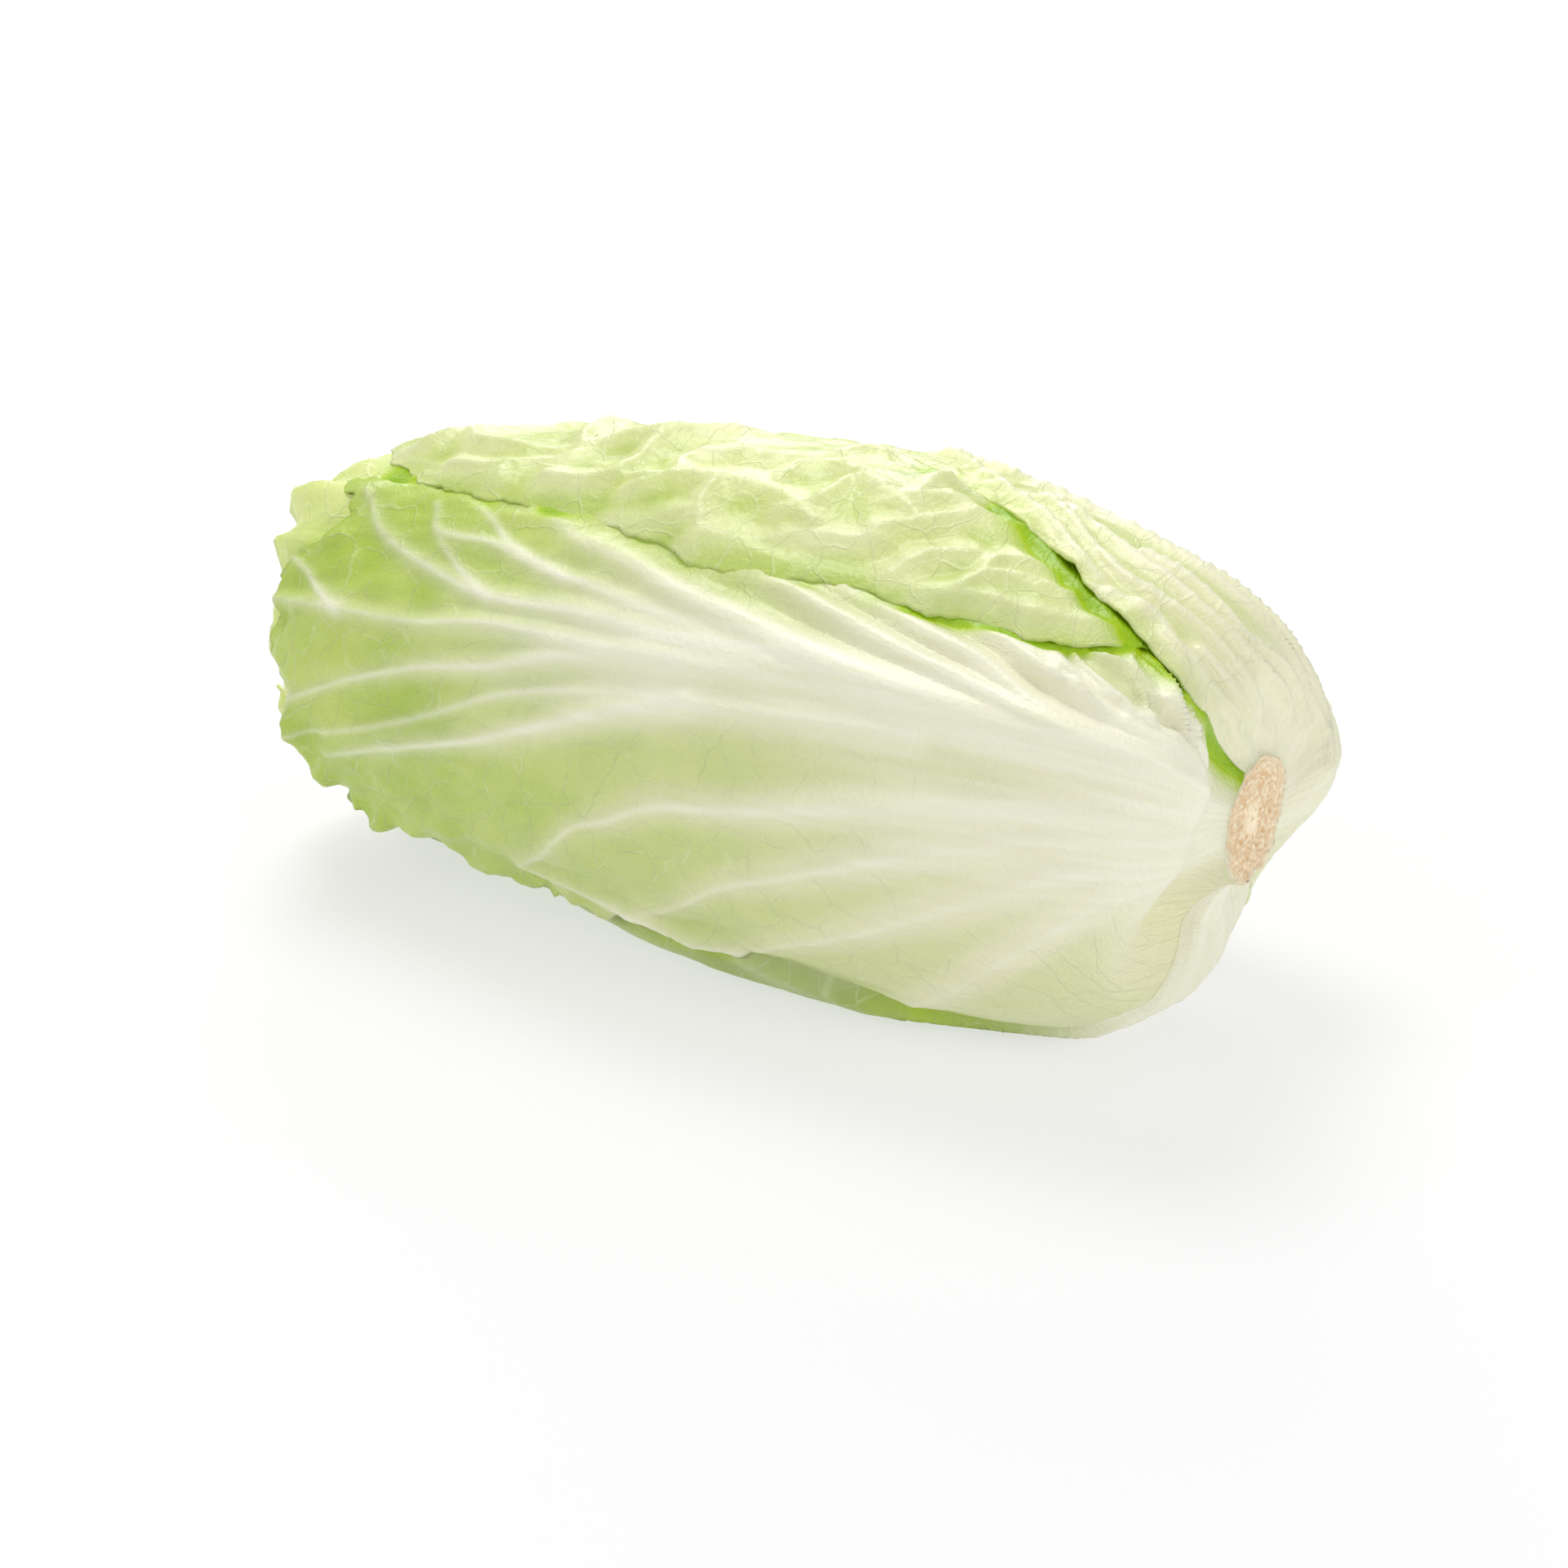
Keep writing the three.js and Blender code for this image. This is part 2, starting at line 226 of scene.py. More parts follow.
def tip_at(leaf, across):
    """How far along a leaf's end margin is, for across from -1 to 1."""
    return smooth_through(np.linspace(-1, 1, len(leaf["tip"])), leaf["tip"], across)


def beyond(leaf, along, around):
    """How far a place is outside a leaf: degrees beyond its side and mm beyond its tip."""
    off = turned_from(around, leaf["midrib"])
    side = side_at(leaf, along, off >= 0)
    tip = tip_at(leaf, np.clip(off / side, -1, 1))
    return np.abs(off) - side, (along - tip) * OUTLINE_LENGTH


def cover(leaf, along, around):
    """1 where a leaf lies over a place, fading to 0 over the tuck beyond its margins."""
    sideways, lengthways = beyond(leaf, along, around)
    side = 1 - smoothstep(0, TUCK_ANGLE, sideways - leaf["lead"])
    return side * (1 - smoothstep(0, TUCK_LENGTH, lengthways - leaf["end_lead"]))


def pressed_cover(leaf, along, around):
    """The same on the ground, where the leaves lie flat on each other."""
    sideways, lengthways = beyond(leaf, along, around)
    side = 1 - smoothstep(0, PRESSED_TUCK, sideways - TUCK_LEAD)
    return side * (1 - smoothstep(0, TUCK_LENGTH, lengthways))


def depth_under(outside, along, around, covering):
    """How deep a place lies in mm: a pitch for each leaf outside, as far as that leaf covers it."""
    depth = np.zeros_like(along)
    for other in outside:
        depth = depth + other["pitch"] * covering(other, along, around)
    return depth


def held(leaf):
    """The share of the circumference that a leaf holds down, half of each tuck included."""
    both = side_at(leaf, 0.5, True) + side_at(leaf, 0.5, False)
    return float(both + 2 * TUCK_LEAD + TUCK_ANGLE) / 360


inner_leaf = dict(plus=INNER_SIDE, minus=INNER_SIDE, tip=INNER_TIP)
outer_depth = OUTER_PITCH * sum(held(leaf) for leaf in OUTER_LEAVES)
INNER_PITCH = (HALF_HEIGHT - HEART_RADIUS - outer_depth) / (INNER_COUNT * held(inner_leaf) + 1)
LEAVES = [dict(leaf, pitch=OUTER_PITCH, lead=CLOSE_LEAD, end_lead=CLOSE_LENGTH) for leaf in OUTER_LEAVES]
LEAVES += [
    dict(inner_leaf, name=f"inner_leaf_{i + 1:02d}", midrib=FIRST_INNER_MIDRIB + i * LEAF_TURN,
         pitch=INNER_PITCH, lead=TUCK_LEAD, end_lead=0.0)
    for i in range(INNER_COUNT)
]
print(len(LEAVES), "leaves, the inner ones", round(INNER_PITCH, 2), "mm apart")

# %% [markdown]
# ## Wrinkles
#
# The crumple of a leaf has no repeat, so it comes from noise: random slopes on a lattice, blended
# smoothly. Folding the noise at zero gives creases, which is how a leaf looks between its veins:
# sharp pale crests with soft hollows between them. Every use has its own fixed seed.

# %% Noise on a lattice
NOISE_SIZE = 256
NOISE_GAIN = 1.5  # brings lattice noise to about -1..1


def noise(x, y, seed):
    """Gradient noise: at each lattice point a random slope, and between them the slopes' planes
    blended by a smooth S. About -1 to 1, with bumps one unit apart."""
    angles = np.random.default_rng(seed).uniform(0, 2 * np.pi, (NOISE_SIZE, NOISE_SIZE))
    ix, iy = np.floor(x).astype(int), np.floor(y).astype(int)
    fx, fy = x - ix, y - iy

    def corner(dx, dy):
        angle = angles[(ix + dx) % NOISE_SIZE, (iy + dy) % NOISE_SIZE]
        return np.cos(angle) * (fx - dx) + np.sin(angle) * (fy - dy)

    wx, wy = fx**3 * (6 * fx**2 - 15 * fx + 10), fy**3 * (6 * fy**2 - 15 * fy + 10)
    near = corner(0, 0) * (1 - wx) + corner(1, 0) * wx
    far = corner(0, 1) * (1 - wx) + corner(1, 1) * wx
    return NOISE_GAIN * (near * (1 - wy) + far * wy)


def creased(x, y, seed, sharp=1.0):
    """Noise folded at zero and turned over: crests along lines at 1, hollows near 0."""
    return (1 - np.minimum(np.abs(noise(x, y, seed)), 1)) ** (1 + sharp)


sample = noise(np.linspace(0, 40, 4000), np.full(4000, 0.5), 1)
print("noise runs from", sample.min().round(2), "to", sample.max().round(2))


# %% [markdown]
# ## Veins
#
# The main veins of a leaf are drawn as lines on the head, each through a few chosen places. A vein
# stands out as a rounded ridge and is white: its width and its white halo grow from its thin end
# towards the stem, where the halos run together into the broad white rib.

# %% Distance from the veins
DEGREE = np.radians(1)
LEAST_RADIUS = 12  # mm: near the ends the head is unrolled as if it were no narrower than this
STEPS_PER_PLACE = 8  # straight steps in a line for each place it goes through


def flat_place(along, around):
    """A place on the unrolled head in mm: along the outline, and round it at the local radius."""
    return along * OUTLINE_LENGTH, around * DEGREE * np.maximum(outline_radius(along), LEAST_RADIUS)


def line_fields(along, around, routes):
    """For each route, the distance in mm of every place to it and how far up the route its nearest
    point is, from 0 at its start to 1 at its end. A route is a smooth line cut into straight steps;
    the nearest point of a step is the place's shadow on it, kept between its ends."""
    fields = []
    for route in routes:
        points = np.array(route, float)
        knots = np.linspace(0, 1, len(points))
        steps = np.linspace(0, 1, STEPS_PER_PLACE * len(points))
        line = np.stack([smooth_through(knots, points[:, k], steps) for k in range(2)], axis=1)
        radius = np.maximum(outline_radius(line[:, 0]), LEAST_RADIUS)
        best = np.full(along.shape, 1e9)
        where = np.zeros(along.shape)
        for i in range(len(line) - 1):
            unit = np.array([OUTLINE_LENGTH, DEGREE * radius[i]])
            run, turn = (line[i + 1] - line[i]) * unit
            x, y = (along - line[i, 0]) * unit[0], (around - line[i, 1]) * unit[1]
            share = np.clip((x * run + y * turn) / (run * run + turn * turn), 0, 1)
            gap = np.hypot(x - share * run, y - share * turn)
            nearer = gap < best
            best = np.where(nearer, gap, best)
            where = np.where(nearer, (i + share) / (len(line) - 1), where)
        fields.append((best, where))
    return fields


print("a degree is", round(DEGREE * outline_radius(WIDEST), 2), "mm round the widest girth")

# %% Shape and colour of the veins
RIDGE_GAIN = 1.6  # the ridges are drawn this much higher than stated, or soft light would lose them
FAR_FROM_CREST = 40.0  # mm: no crease is felt further away than this


def vein(route, height=1.2, width=(5.0, 1.2), halo=(12.0, 1.6)):
    """One vein: its route as (along, around) places from the stem, its ridge height in mm, and the
    widths in mm of the ridge and of the white halo at the stem and at the thin end."""
    return dict(route=route, height=height, width=width, halo=halo)


def vein_relief(along, around, veins):
    """The height in mm of the ridges, and how white each place is. A ridge and its halo are bell
    curves of the distance to the vein, with widths that run from the stem's to the thin end's. Where
    two ridges meet, a third of the lower one is added to the higher one."""
    height = np.zeros_like(along)
    blade = np.ones_like(along)
    for (gap, where), one in zip(line_fields(along, around, [v["route"] for v in veins]), veins):
        thin = smoothstep(0, 1, where) ** 0.6
        ridge_width = one["width"][0] + (one["width"][1] - one["width"][0]) * thin
        halo_width = one["halo"][0] + (one["halo"][1] - one["halo"][0]) * thin
        ridge = RIDGE_GAIN * one["height"] * np.exp(-((gap / ridge_width) ** 2)) * (1 - 0.6 * where)
        height = np.maximum(height, ridge) + 0.35 * np.minimum(height, ridge)
        core = np.exp(-((gap / np.maximum(0.36 * ridge_width, 0.75)) ** 2)) * (1 - 0.8 * where**1.5)
        core = core * min(1, one["height"] / 1.1)
        halo = 0.8 * np.exp(-((gap / halo_width) ** 1.4)) * (1 - 0.7 * where)
        blade = blade * (1 - core) * (1 - halo)
    return height, 1 - blade


def crest_relief(along, around, crests, width):
    """Creases of a slack blade: 1 on the nearest crest, with concave flanks that fall away on both sides like
    a tent's, and the distance to it in mm."""
    nearest = np.min([gap for gap, where in line_fields(along, around, crests)], axis=0)
    nearest = np.minimum(nearest, FAR_FROM_CREST)
    return np.exp(-nearest / width), nearest


def fan(leaf, count, height, width=(4.0, 1.0), halo=(12.0, 1.4)):
    """A midrib and `count` veins on either side that leave it one after another and spread out
    towards the margins."""
    veins = []
    for k in range(-count, count + 1):
        share = k / count
        plus = k >= 0
        places = []
        for step in (0.04, 0.15, 0.35, 0.6, 0.8, 0.97):
            along = step * float(tip_at(leaf, share))
            spread = share * (0.22 + 0.72 * smoothstep(0, 1, step))
            around = leaf["midrib"] + spread * float(side_at(leaf, along, plus))
            places.append((along, around))
        strength = 1.5 if k == 0 else 1.0
        veins.append(vein(places, height * strength, width, (halo[0] * strength, halo[1] * strength)))
    return veins


print("a vein's ridge is a bell curve, drawn", RIDGE_GAIN, "times its stated height")

# %% The front leaf's main veins
THIN = dict(height=0.6, width=(1.5, 1.2), halo=(1.4, 1.0))
PLEAT = dict(width=(4.2, 3.2), halo=(8.0, 3.0))
FRONT_VEINS = [
    vein([(0.05, 66), (0.17, 63), (0.28, 58), (0.38, 54), (0.45, 50), (0.53, 44), (0.58, 40), (0.65, 29)],
         height=3.2, width=(6.0, 3.4), halo=(12, 3)),
    vein([(0.28, 60), (0.38, 57), (0.44, 56), (0.52, 52), (0.6, 48), (0.65, 44), (0.7, 43), (0.725, 34)],
         height=1.1, width=(4.0, 1.3), halo=(7, 1.6)),
    vein([(0.38, 59), (0.48, 58), (0.55, 57), (0.63, 57), (0.7, 52), (0.76, 44), (0.8, 31)],
         height=1.4, width=(4.5, 1.5), halo=(8, 2.0)),
    vein([(0.05, 66), (0.11, 65), (0.22, 63), (0.34, 60), (0.44, 62), (0.54, 63), (0.62, 63), (0.7, 66),
          (0.78, 66), (0.87, 66)], height=2.0, width=(8.0, 1.7), halo=(18, 2.6)),
    vein([(0.775, 66), (0.79, 64), (0.81, 61), (0.83, 56), (0.87, 50)],
         height=0.8, width=(2.0, 1.2), halo=(2.4, 1.2)),
    vein([(0.45, 63), (0.54, 66), (0.61, 72), (0.69, 77), (0.77, 86), (0.84, 97)],
         height=1.2, width=(4.0, 1.2), halo=(8, 1.8)),
    vein([(0.27, 66), (0.35, 68), (0.43, 70), (0.51, 72), (0.6, 78), (0.69, 90), (0.84, 108)],
         height=0.8, width=(4.0, 1.2), halo=(9, 1.0)),
    vein([(0.44, 70), (0.52, 78), (0.58, 85), (0.64, 92), (0.72, 100), (0.755, 105), (0.8, 112)],
         height=1.4, width=(4.0, 1.4), halo=(7, 2.0)),
    vein([(0.05, 69), (0.11, 74), (0.21, 80), (0.3, 84), (0.39, 90), (0.46, 94), (0.5, 100),
          (0.54, 106), (0.58, 118), (0.62, 129)], height=1.3, width=(6.0, 1.5), halo=(12, 2.4)),
    vein([(0.05, 77), (0.155, 84), (0.24, 90), (0.3, 96), (0.35, 102), (0.41, 110), (0.46, 121),
          (0.53, 136)], height=1.2, width=(5.0, 1.5), halo=(12, 2.4)),
    vein([(0.05, 80), (0.1, 86), (0.185, 96), (0.275, 108), (0.36, 122), (0.44, 139)],
         height=1.2, width=(5.0, 1.6), halo=(13, 3)),
    vein([(0.06, 90), (0.1, 94), (0.155, 105), (0.225, 120), (0.32, 148)],
         height=1.0, width=(5.0, 1.8), halo=(14, 5)),
    vein([(0.05, 62), (0.12, 61), (0.175, 59), (0.235, 54), (0.295, 50), (0.365, 45), (0.44, 38)],
         height=3.8, **PLEAT),
    vein([(0.05, 60), (0.12, 59), (0.18, 56), (0.24, 48), (0.3, 43), (0.37, 36)], height=3.6, **PLEAT),
    vein([(0.05, 57), (0.09, 56), (0.13, 54), (0.18, 48), (0.225, 42), (0.27, 35)], height=4.0, **PLEAT),
    vein([(0.08, 54), (0.14, 49), (0.18, 44), (0.21, 42), (0.25, 36)], height=2.8, **PLEAT),
    vein([(0.06, 49), (0.08, 42), (0.09, 34), (0.09, 26)], height=3.2, width=(3.0, 2.0), halo=(5, 2)),
    vein([(0.07, 46), (0.1, 40), (0.11, 33), (0.12, 27)], height=2.6, width=(2.6, 1.8), halo=(5, 2)),
    vein([(0.05, 44), (0.065, 38), (0.07, 30)], height=2.4, width=(2.4, 1.6), halo=(5, 2)),
    vein([(0.43, 137), (0.5, 133), (0.56, 130), (0.62, 130)], height=2.2, width=(3.0, 2.4), halo=(3, 2)),
    vein([(0.63, 57), (0.66, 53), (0.68, 49), (0.7, 44)], **THIN),
    vein([(0.57, 50), (0.63, 44), (0.66, 38), (0.68, 35)], **THIN),
]
print(len(FRONT_VEINS), "main veins on the front leaf")

# %% [markdown]
# ## From leaf to mesh
#
# The grid of a leaf runs from its base on the stem to its end margin and from one side margin to the
# other. Teeth and waves move the margins, the relief of the veins and wrinkles moves each point along
# the surface's normal, and a curl lifts the margins. The real blade is half a millimetre to a
# millimetre thick, so the sheet gets its thickness from a Solidify modifier, which also closes it.

# %% Make a mesh piece out of a grid
MAP_UNIT = 100  # mm to one unit of a UV map


def grid_faces(rows, columns):
    """The four-cornered faces of a grid of rows x columns points, facing the head's outside."""
    index = np.arange(rows * columns).reshape(rows, columns)
    corners = [index[:-1, :-1], index[1:, :-1], index[1:, 1:], index[:-1, 1:]]
    return np.stack([c.ravel() for c in corners], axis=-1).tolist()


def mesh_piece(name, points, faces, fields, maps={}):
    """A smooth-shaded mesh object from points in mm, with named numbers on its points and UV maps
    in decimetres."""
    mesh = bpy.data.meshes.new(name)
    mesh.from_pydata((points.reshape(-1, 3) * MM).tolist(), [], faces)
    mesh.polygons.foreach_set("use_smooth", np.ones(len(mesh.polygons), bool))
    for field, values in fields.items():
        attribute = mesh.attributes.new(field, "FLOAT", "POINT")
        attribute.data.foreach_set("value", values.ravel().astype(np.float32))
    corner_points = np.zeros(len(mesh.loops), int)
    mesh.loops.foreach_get("vertex_index", corner_points)
    for title, places in maps.items():
        uv = mesh.uv_layers.new(name=title)
        uv.data.foreach_set("uv", (places.reshape(-1, 2)[corner_points] / MAP_UNIT).ravel())
    mesh.update()
    piece = bpy.data.objects.new(name, mesh)
    bpy.context.scene.collection.objects.link(piece)
    return piece



print("a grid of 3 x 3 points has", len(grid_faces(3, 3)), "faces")

# %% The grid of a leaf
STEM_CLEARANCE = 0.6  # mm between a leaf's base and the stem
TIP_MARGIN_RUN = 60  # mm of noise from the middle of the end margin to its corner
stem_radius = (stem_high[2] - stem_low[2]) / 2
print("stem radius", round(stem_radius, 2), "mm")


def leaf_base(outside, around):
    """The first place along whose radius clears the stem, for each angle."""
    trial = np.linspace(0, 0.12, 240)[:, None] + np.zeros_like(around)[None, :]
    angle = np.broadcast_to(around, trial.shape)
    radius = outline_radius(trial) * (1 - depth_under(outside, trial, angle, cover) / HALF_HEIGHT)
    clear = radius >= stem_radius + STEM_CLEARANCE
    return trial[np.argmax(clear, axis=0), 0]


def leaf_places(leaf, outside, rows, columns, seed):
    """along, around and the distances in mm to the side and end margins, as grids. Fine teeth and
    slower waves, both noise along the margin, move the margins by a few mm."""
    teeth = leaf.get("teeth", 1.0)
    s = np.linspace(0, 1, rows)[:, None] + np.zeros((1, columns))
    t = np.linspace(-1, 1, columns)[None, :] + np.zeros((rows, 1))
    start = leaf_base(outside, leaf["midrib"] + t[0] * side_at(leaf, 0.02, t[0] >= 0))[None, :]
    end = tip_at(leaf, t)
    run, row = t * TIP_MARGIN_RUN, np.full_like(t, 0.5)
    ripple = noise(run / 16, row, seed) * 3.2 + noise(run / 6, row, seed + 4) * 1.6
    ripple = ripple + noise(run / 2.6, row, seed + 1) * 0.7
    end = end + teeth * ripple / OUTLINE_LENGTH
    along = start + (end - start) * s
    side = side_at(leaf, along, t >= 0)
    radius = outline_radius(along)
    run = along * OUTLINE_LENGTH
    which = np.where(t >= 0, 5.3, 11.7)
    ripple = noise(run / 12, which, seed + 2) * 1.6 + noise(run / 3.2, which, seed + 3) * 0.7
    side = side + teeth * smoothstep(0.08, 0.25, along) * ripple * np.abs(t) ** 6 / (radius * DEGREE)
    around = leaf["midrib"] + t * side
    to_side = (1 - np.abs(t)) * side * radius * DEGREE
    to_end = (1 - s) * (end - start) * OUTLINE_LENGTH
    return along, around, to_side, to_end, (along - start) * OUTLINE_LENGTH


# %% Normals and margins
def surface_normals(points):
    """Unit normals of a grid, pointing out of the head: the cross product of its two slopes."""
    normal = np.cross(np.gradient(points, axis=0), np.gradient(points, axis=1))
    return normal / np.maximum(np.linalg.norm(normal, axis=-1, keepdims=True), 1e-9)


def margin_band(to_side, to_end, reach):
    """1 at the margins, falling to 0 inside them: a bell curve of the distance in mm."""
    return np.exp(-((np.minimum(to_side, to_end) / reach) ** 2))


def under_margin(outside, along, around, reach, by_slit=False):
    """1 under the leaves outside, fading to 0 within `reach` mm beyond their margins, or within that
    times a leaf's own slit width."""
    shade = np.zeros_like(along)
    for other in outside:
        sideways, lengthways = beyond(other, along, around)
        sideways = np.maximum(sideways * outline_radius(along) * DEGREE, 0)
        off = np.hypot(sideways, np.maximum(lengthways, 0)) / (other.get("slit", 1.0) if by_slit else 1.0)
        shade = np.maximum(shade, 1 - smoothstep(0, reach, off))
    return shade


# %% Loose tips, and where a leaf grows out of the stem
LOOSE_TIPS = {  # lobes of the inner leaves that stick out at the leafy end: degrees round, mm outwards
    "inner_leaf_01": [(28, 8.0), (47, 4.5), (-62, 9.0)],
    "inner_leaf_02": [(118, 5.0), (200, 6.0)],
}
LOOSE_WAY = np.array((-0.75, 0.0, 0.65))
LOOSE_WIDTH = 5  # degrees to either side of a loose tip's middle
SCAR_ANGLE = 4.0  # radians round the rim to the side where a leaf was trimmed off
JOIN_LENGTH = 14  # mm of a leaf's base that is drawn to the stem's rim


def rim_shape(angle):
    """The stem's irregular rim, as a share of its radius: a few slow waves round the cut, and a
    flatter side where a leaf was trimmed off."""
    waves = 0.02 * np.cos(2 * angle + 0.6) + 0.012 * np.cos(3 * angle + 2.1) + 0.02 * np.cos(5 * angle)
    scar = 0.16 * smoothstep(0.2, 1.0, np.cos(angle - SCAR_ANGLE))
    return 1 + waves + 0.012 * np.cos(11 * angle + 1) - scar


def join_stem(points, around, depth, from_base):
    """Draws the base of an outer leaf to the stem's rim, a leaf with more leaves over it a little
    further down the stem, because every leaf grows out of it."""
    angle = np.radians(around)
    radius = stem_radius * rim_shape(angle) - 0.3
    root = np.stack([
        stem_high[0] - 0.6 - 0.5 * depth + 0 * radius,
        -radius * np.sin(angle),
        AXIS_HEIGHT + radius * np.cos(angle),
    ], axis=-1)
    near = (1 - smoothstep(0, JOIN_LENGTH, from_base))[..., None]
    return points * (1 - near) + root * near


print(sum(len(tips) for tips in LOOSE_TIPS.values()), "loose tips at the leafy end")


# %% Build one leaf
BLADE_THICKNESS = 0.9  # mm
PRESS_REACH = 4.0  # mm beyond a margin that is still pressed by it,
SHADE_REACH = 8.0  # and still in its shade
SLIT_DEPTH = 2.0  # mm that the surface sinks in the slit beside a margin
MARGIN_DROP = 0.6  # mm that a margin is drawn down onto the leaf beneath
DEEPEST_FREE = -1.0  # mm: hollows deeper than this are held up by the leaf beneath,
HELD_SHARE = 0.45  # and keep this share of the rest
RAY_RADIUS = 60  # mm: the rays map is unrolled at this radius all along, so its lines run to the stem


def build_leaf(leaf, outside, rows, columns, seed, look):
    """The leaf's mesh piece. `look(along, around, to_side, to_end, seed)` gives its relief in mm, the lift of
    its margins in mm, and its fields rib, green and the painted shade of its hollows."""
    along, around, to_side, to_end, from_base = leaf_places(leaf, outside, rows, columns, seed)
    depth = depth_under(outside, along, around, cover)
    ground = depth_under(outside, along, around, pressed_cover)
    covered = under_margin(outside, along, around, PRESS_REACH)
    p, q = flat_place(along, around)
    # The slit beside a neighbour's margin sinks in the relief, and its field shade is painted with the green
    # of light through that leaf, and with shade deeper in.
    gaping = noise(p / 16, q / 16, seed + 50) + 1.1 * smoothstep(0.34, 0.28, along)
    slit = under_margin(outside, along, around, SHADE_REACH, by_slit=True) * smoothstep(-0.1, 0.7, gaping)
    near_top = (around > -30) & (around < 45)
    slit = slit * np.where(near_top, 1.0, smoothstep(0.22, 0.38, along))
    relief, lift, fields = look(along, around, to_side, to_end, seed)
    held_up = DEEPEST_FREE + HELD_SHARE * (relief - DEEPEST_FREE)
    relief = np.where(relief < DEEPEST_FREE, held_up, relief)
    smooth = head_point(along, around, depth, ground)
    out = relief * (1 - 0.8 * covered) + lift * (1 - covered) - SLIT_DEPTH * slit * (1 - covered)
    out = out - MARGIN_DROP * margin_band(to_side, to_end, 3) * (1 - covered)
    points = smooth + surface_normals(smooth) * out[..., None]
    for middle, height in LOOSE_TIPS.get(leaf["name"], []):
        loose = np.exp(-((turned_from(around, middle) / LOOSE_WIDTH) ** 2)) * smoothstep(0.8, 0.91, along)
        points = points + (height * loose)[..., None] * LOOSE_WAY
    if leaf["name"] in LOOKS:
        points = join_stem(points, around, depth, from_base)
    points[..., 2] = np.maximum(points[..., 2], ground)
    fields["shade"] = slit
    rays = np.stack((p, around * DEGREE * RAY_RADIUS), axis=-1)
    maps = dict(place=np.stack((p, q), axis=-1), rays=rays)
    piece = mesh_piece(leaf["name"] + "_sheet", points, grid_faces(rows, columns), fields, maps)
    thick = piece.modifiers.new("blade", "SOLIDIFY")
    thick.thickness = BLADE_THICKNESS * MM
    thick.offset = -1
    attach(piece, "root")
    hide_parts(leaf["name"])
    print(leaf["name"], "points", points.shape[:2], "relief", relief.min().round(1), relief.max().round(1))
    return piece


# %% [markdown]
# ## How each kind of leaf is wrinkled
#
# The front leaf is stretched smooth over the head, so only its veins and some slow waves show. The top
# leaf lies slack: its blade has shrunk between the veins into creases and hollows. The back leaf shows
# the long ridges of its thick base. The under leaf is pressed flat, and the inner leaves are frilled
# at their tips, where they were free to grow.

# %% The look of the front leaf
def front_look(along, around, to_side, to_end, seed):
    """Veins over slow waves; the frilled end margin curls outwards."""
    p, q = flat_place(along, around)
    height, veins = vein_relief(along, around, FRONT_VEINS)
    blade = smoothstep(0.25, 0.7, along)
    waves = 1.4 * noise(p / 34, q / 16, seed + 10) + 1.0 * noise(p / 12, q / 7, seed + 11)
    pucker = 0.5 * creased(p / 16 + 0.4 * noise(p / 20, q / 20, seed + 12), q / 10, seed + 13)
    height = height * smoothstep(0.02, 0.12, along)
    furrows = 0.3 * noise(p / 30, q / 6, seed + 14) + 0.6 * noise(p / 60, around / 5, seed + 20) * (1 - blade)
    relief = height + blade * (waves + pucker * (1 - veins)) + furrows * smoothstep(0.03, 0.15, along)
    wing = smoothstep(56, 44, around) * (1 - smoothstep(0.16, 0.22, along)) * smoothstep(0.05, 0.1, along)
    bent = noise(p / 15, q / 15, seed + 19)
    wrinkle = creased((p + 6 * bent) / 11, (q + 0.5 * p) / 8, seed + 18, sharp=0.4)
    relief = relief + 5.0 * wing * (wrinkle - 0.5)
    edge = margin_band(to_side, to_end, 8) * smoothstep(0.3, 0.6, along)
    frill = 3.5 + 4.0 * smoothstep(85, 110, around) * smoothstep(0.45, 0.55, along)
    lift = edge * (0.6 + frill * noise(p / 13, q / 13, seed + 15))
    petiole = 0.8 * (1 - smoothstep(0.06, 0.38, along + 0.03 * noise(p / 25, q / 12, seed + 17)))
    # Painted shade: the white of the rib fades on the lower side of the head, towards the underside.
    petiole = petiole * (1 - 0.75 * smoothstep(80, 125, around))
    rib = 1 - (1 - petiole) * (1 - veins)
    green = smoothstep(0.12, 0.76, along - 0.0006 * (around - 70) + 0.03 * noise(p / 20, q / 20, seed + 16))
    between = crest_relief(along, around, [v["route"] for v in FRONT_VEINS], 3.0)[1]
    # The grooves between the ribs sink in the relief, and are also painted as shade: a deeper green, and less
    # white on the rib.
    groove = smoothstep(2, 7, between) * smoothstep(62, 48, around) * (1 - smoothstep(0.45, 0.6, along))
    groove = np.maximum(groove, 0.75 * smoothstep(2.5, 9, between) * smoothstep(0.05, 0.16, along))
    dimple = margin_band(to_side, to_end, 6) * smoothstep(0.0, 0.5, noise(p / 9, q / 9, seed + 21)) * blade
    # Painted shade: a deeper green in the grooves, in dimples near the margin, in the troughs of the waves
    # and in the wrinkles of the wing.
    painted_hollow_shade = 0.8 * dimple + 0.4 * groove + 0.4 * np.clip(-waves, 0, 1) * blade
    painted_hollow_shade = painted_hollow_shade + 0.6 * wing * np.clip(0.8 - wrinkle, 0, 1)
    relief = relief - 0.9 * groove * (1 - blade) - 1.5 * dimple
    return relief, lift, dict(rib=rib * (1 - 0.5 * groove), green=green, painted_hollow_shade=painted_hollow_shade)


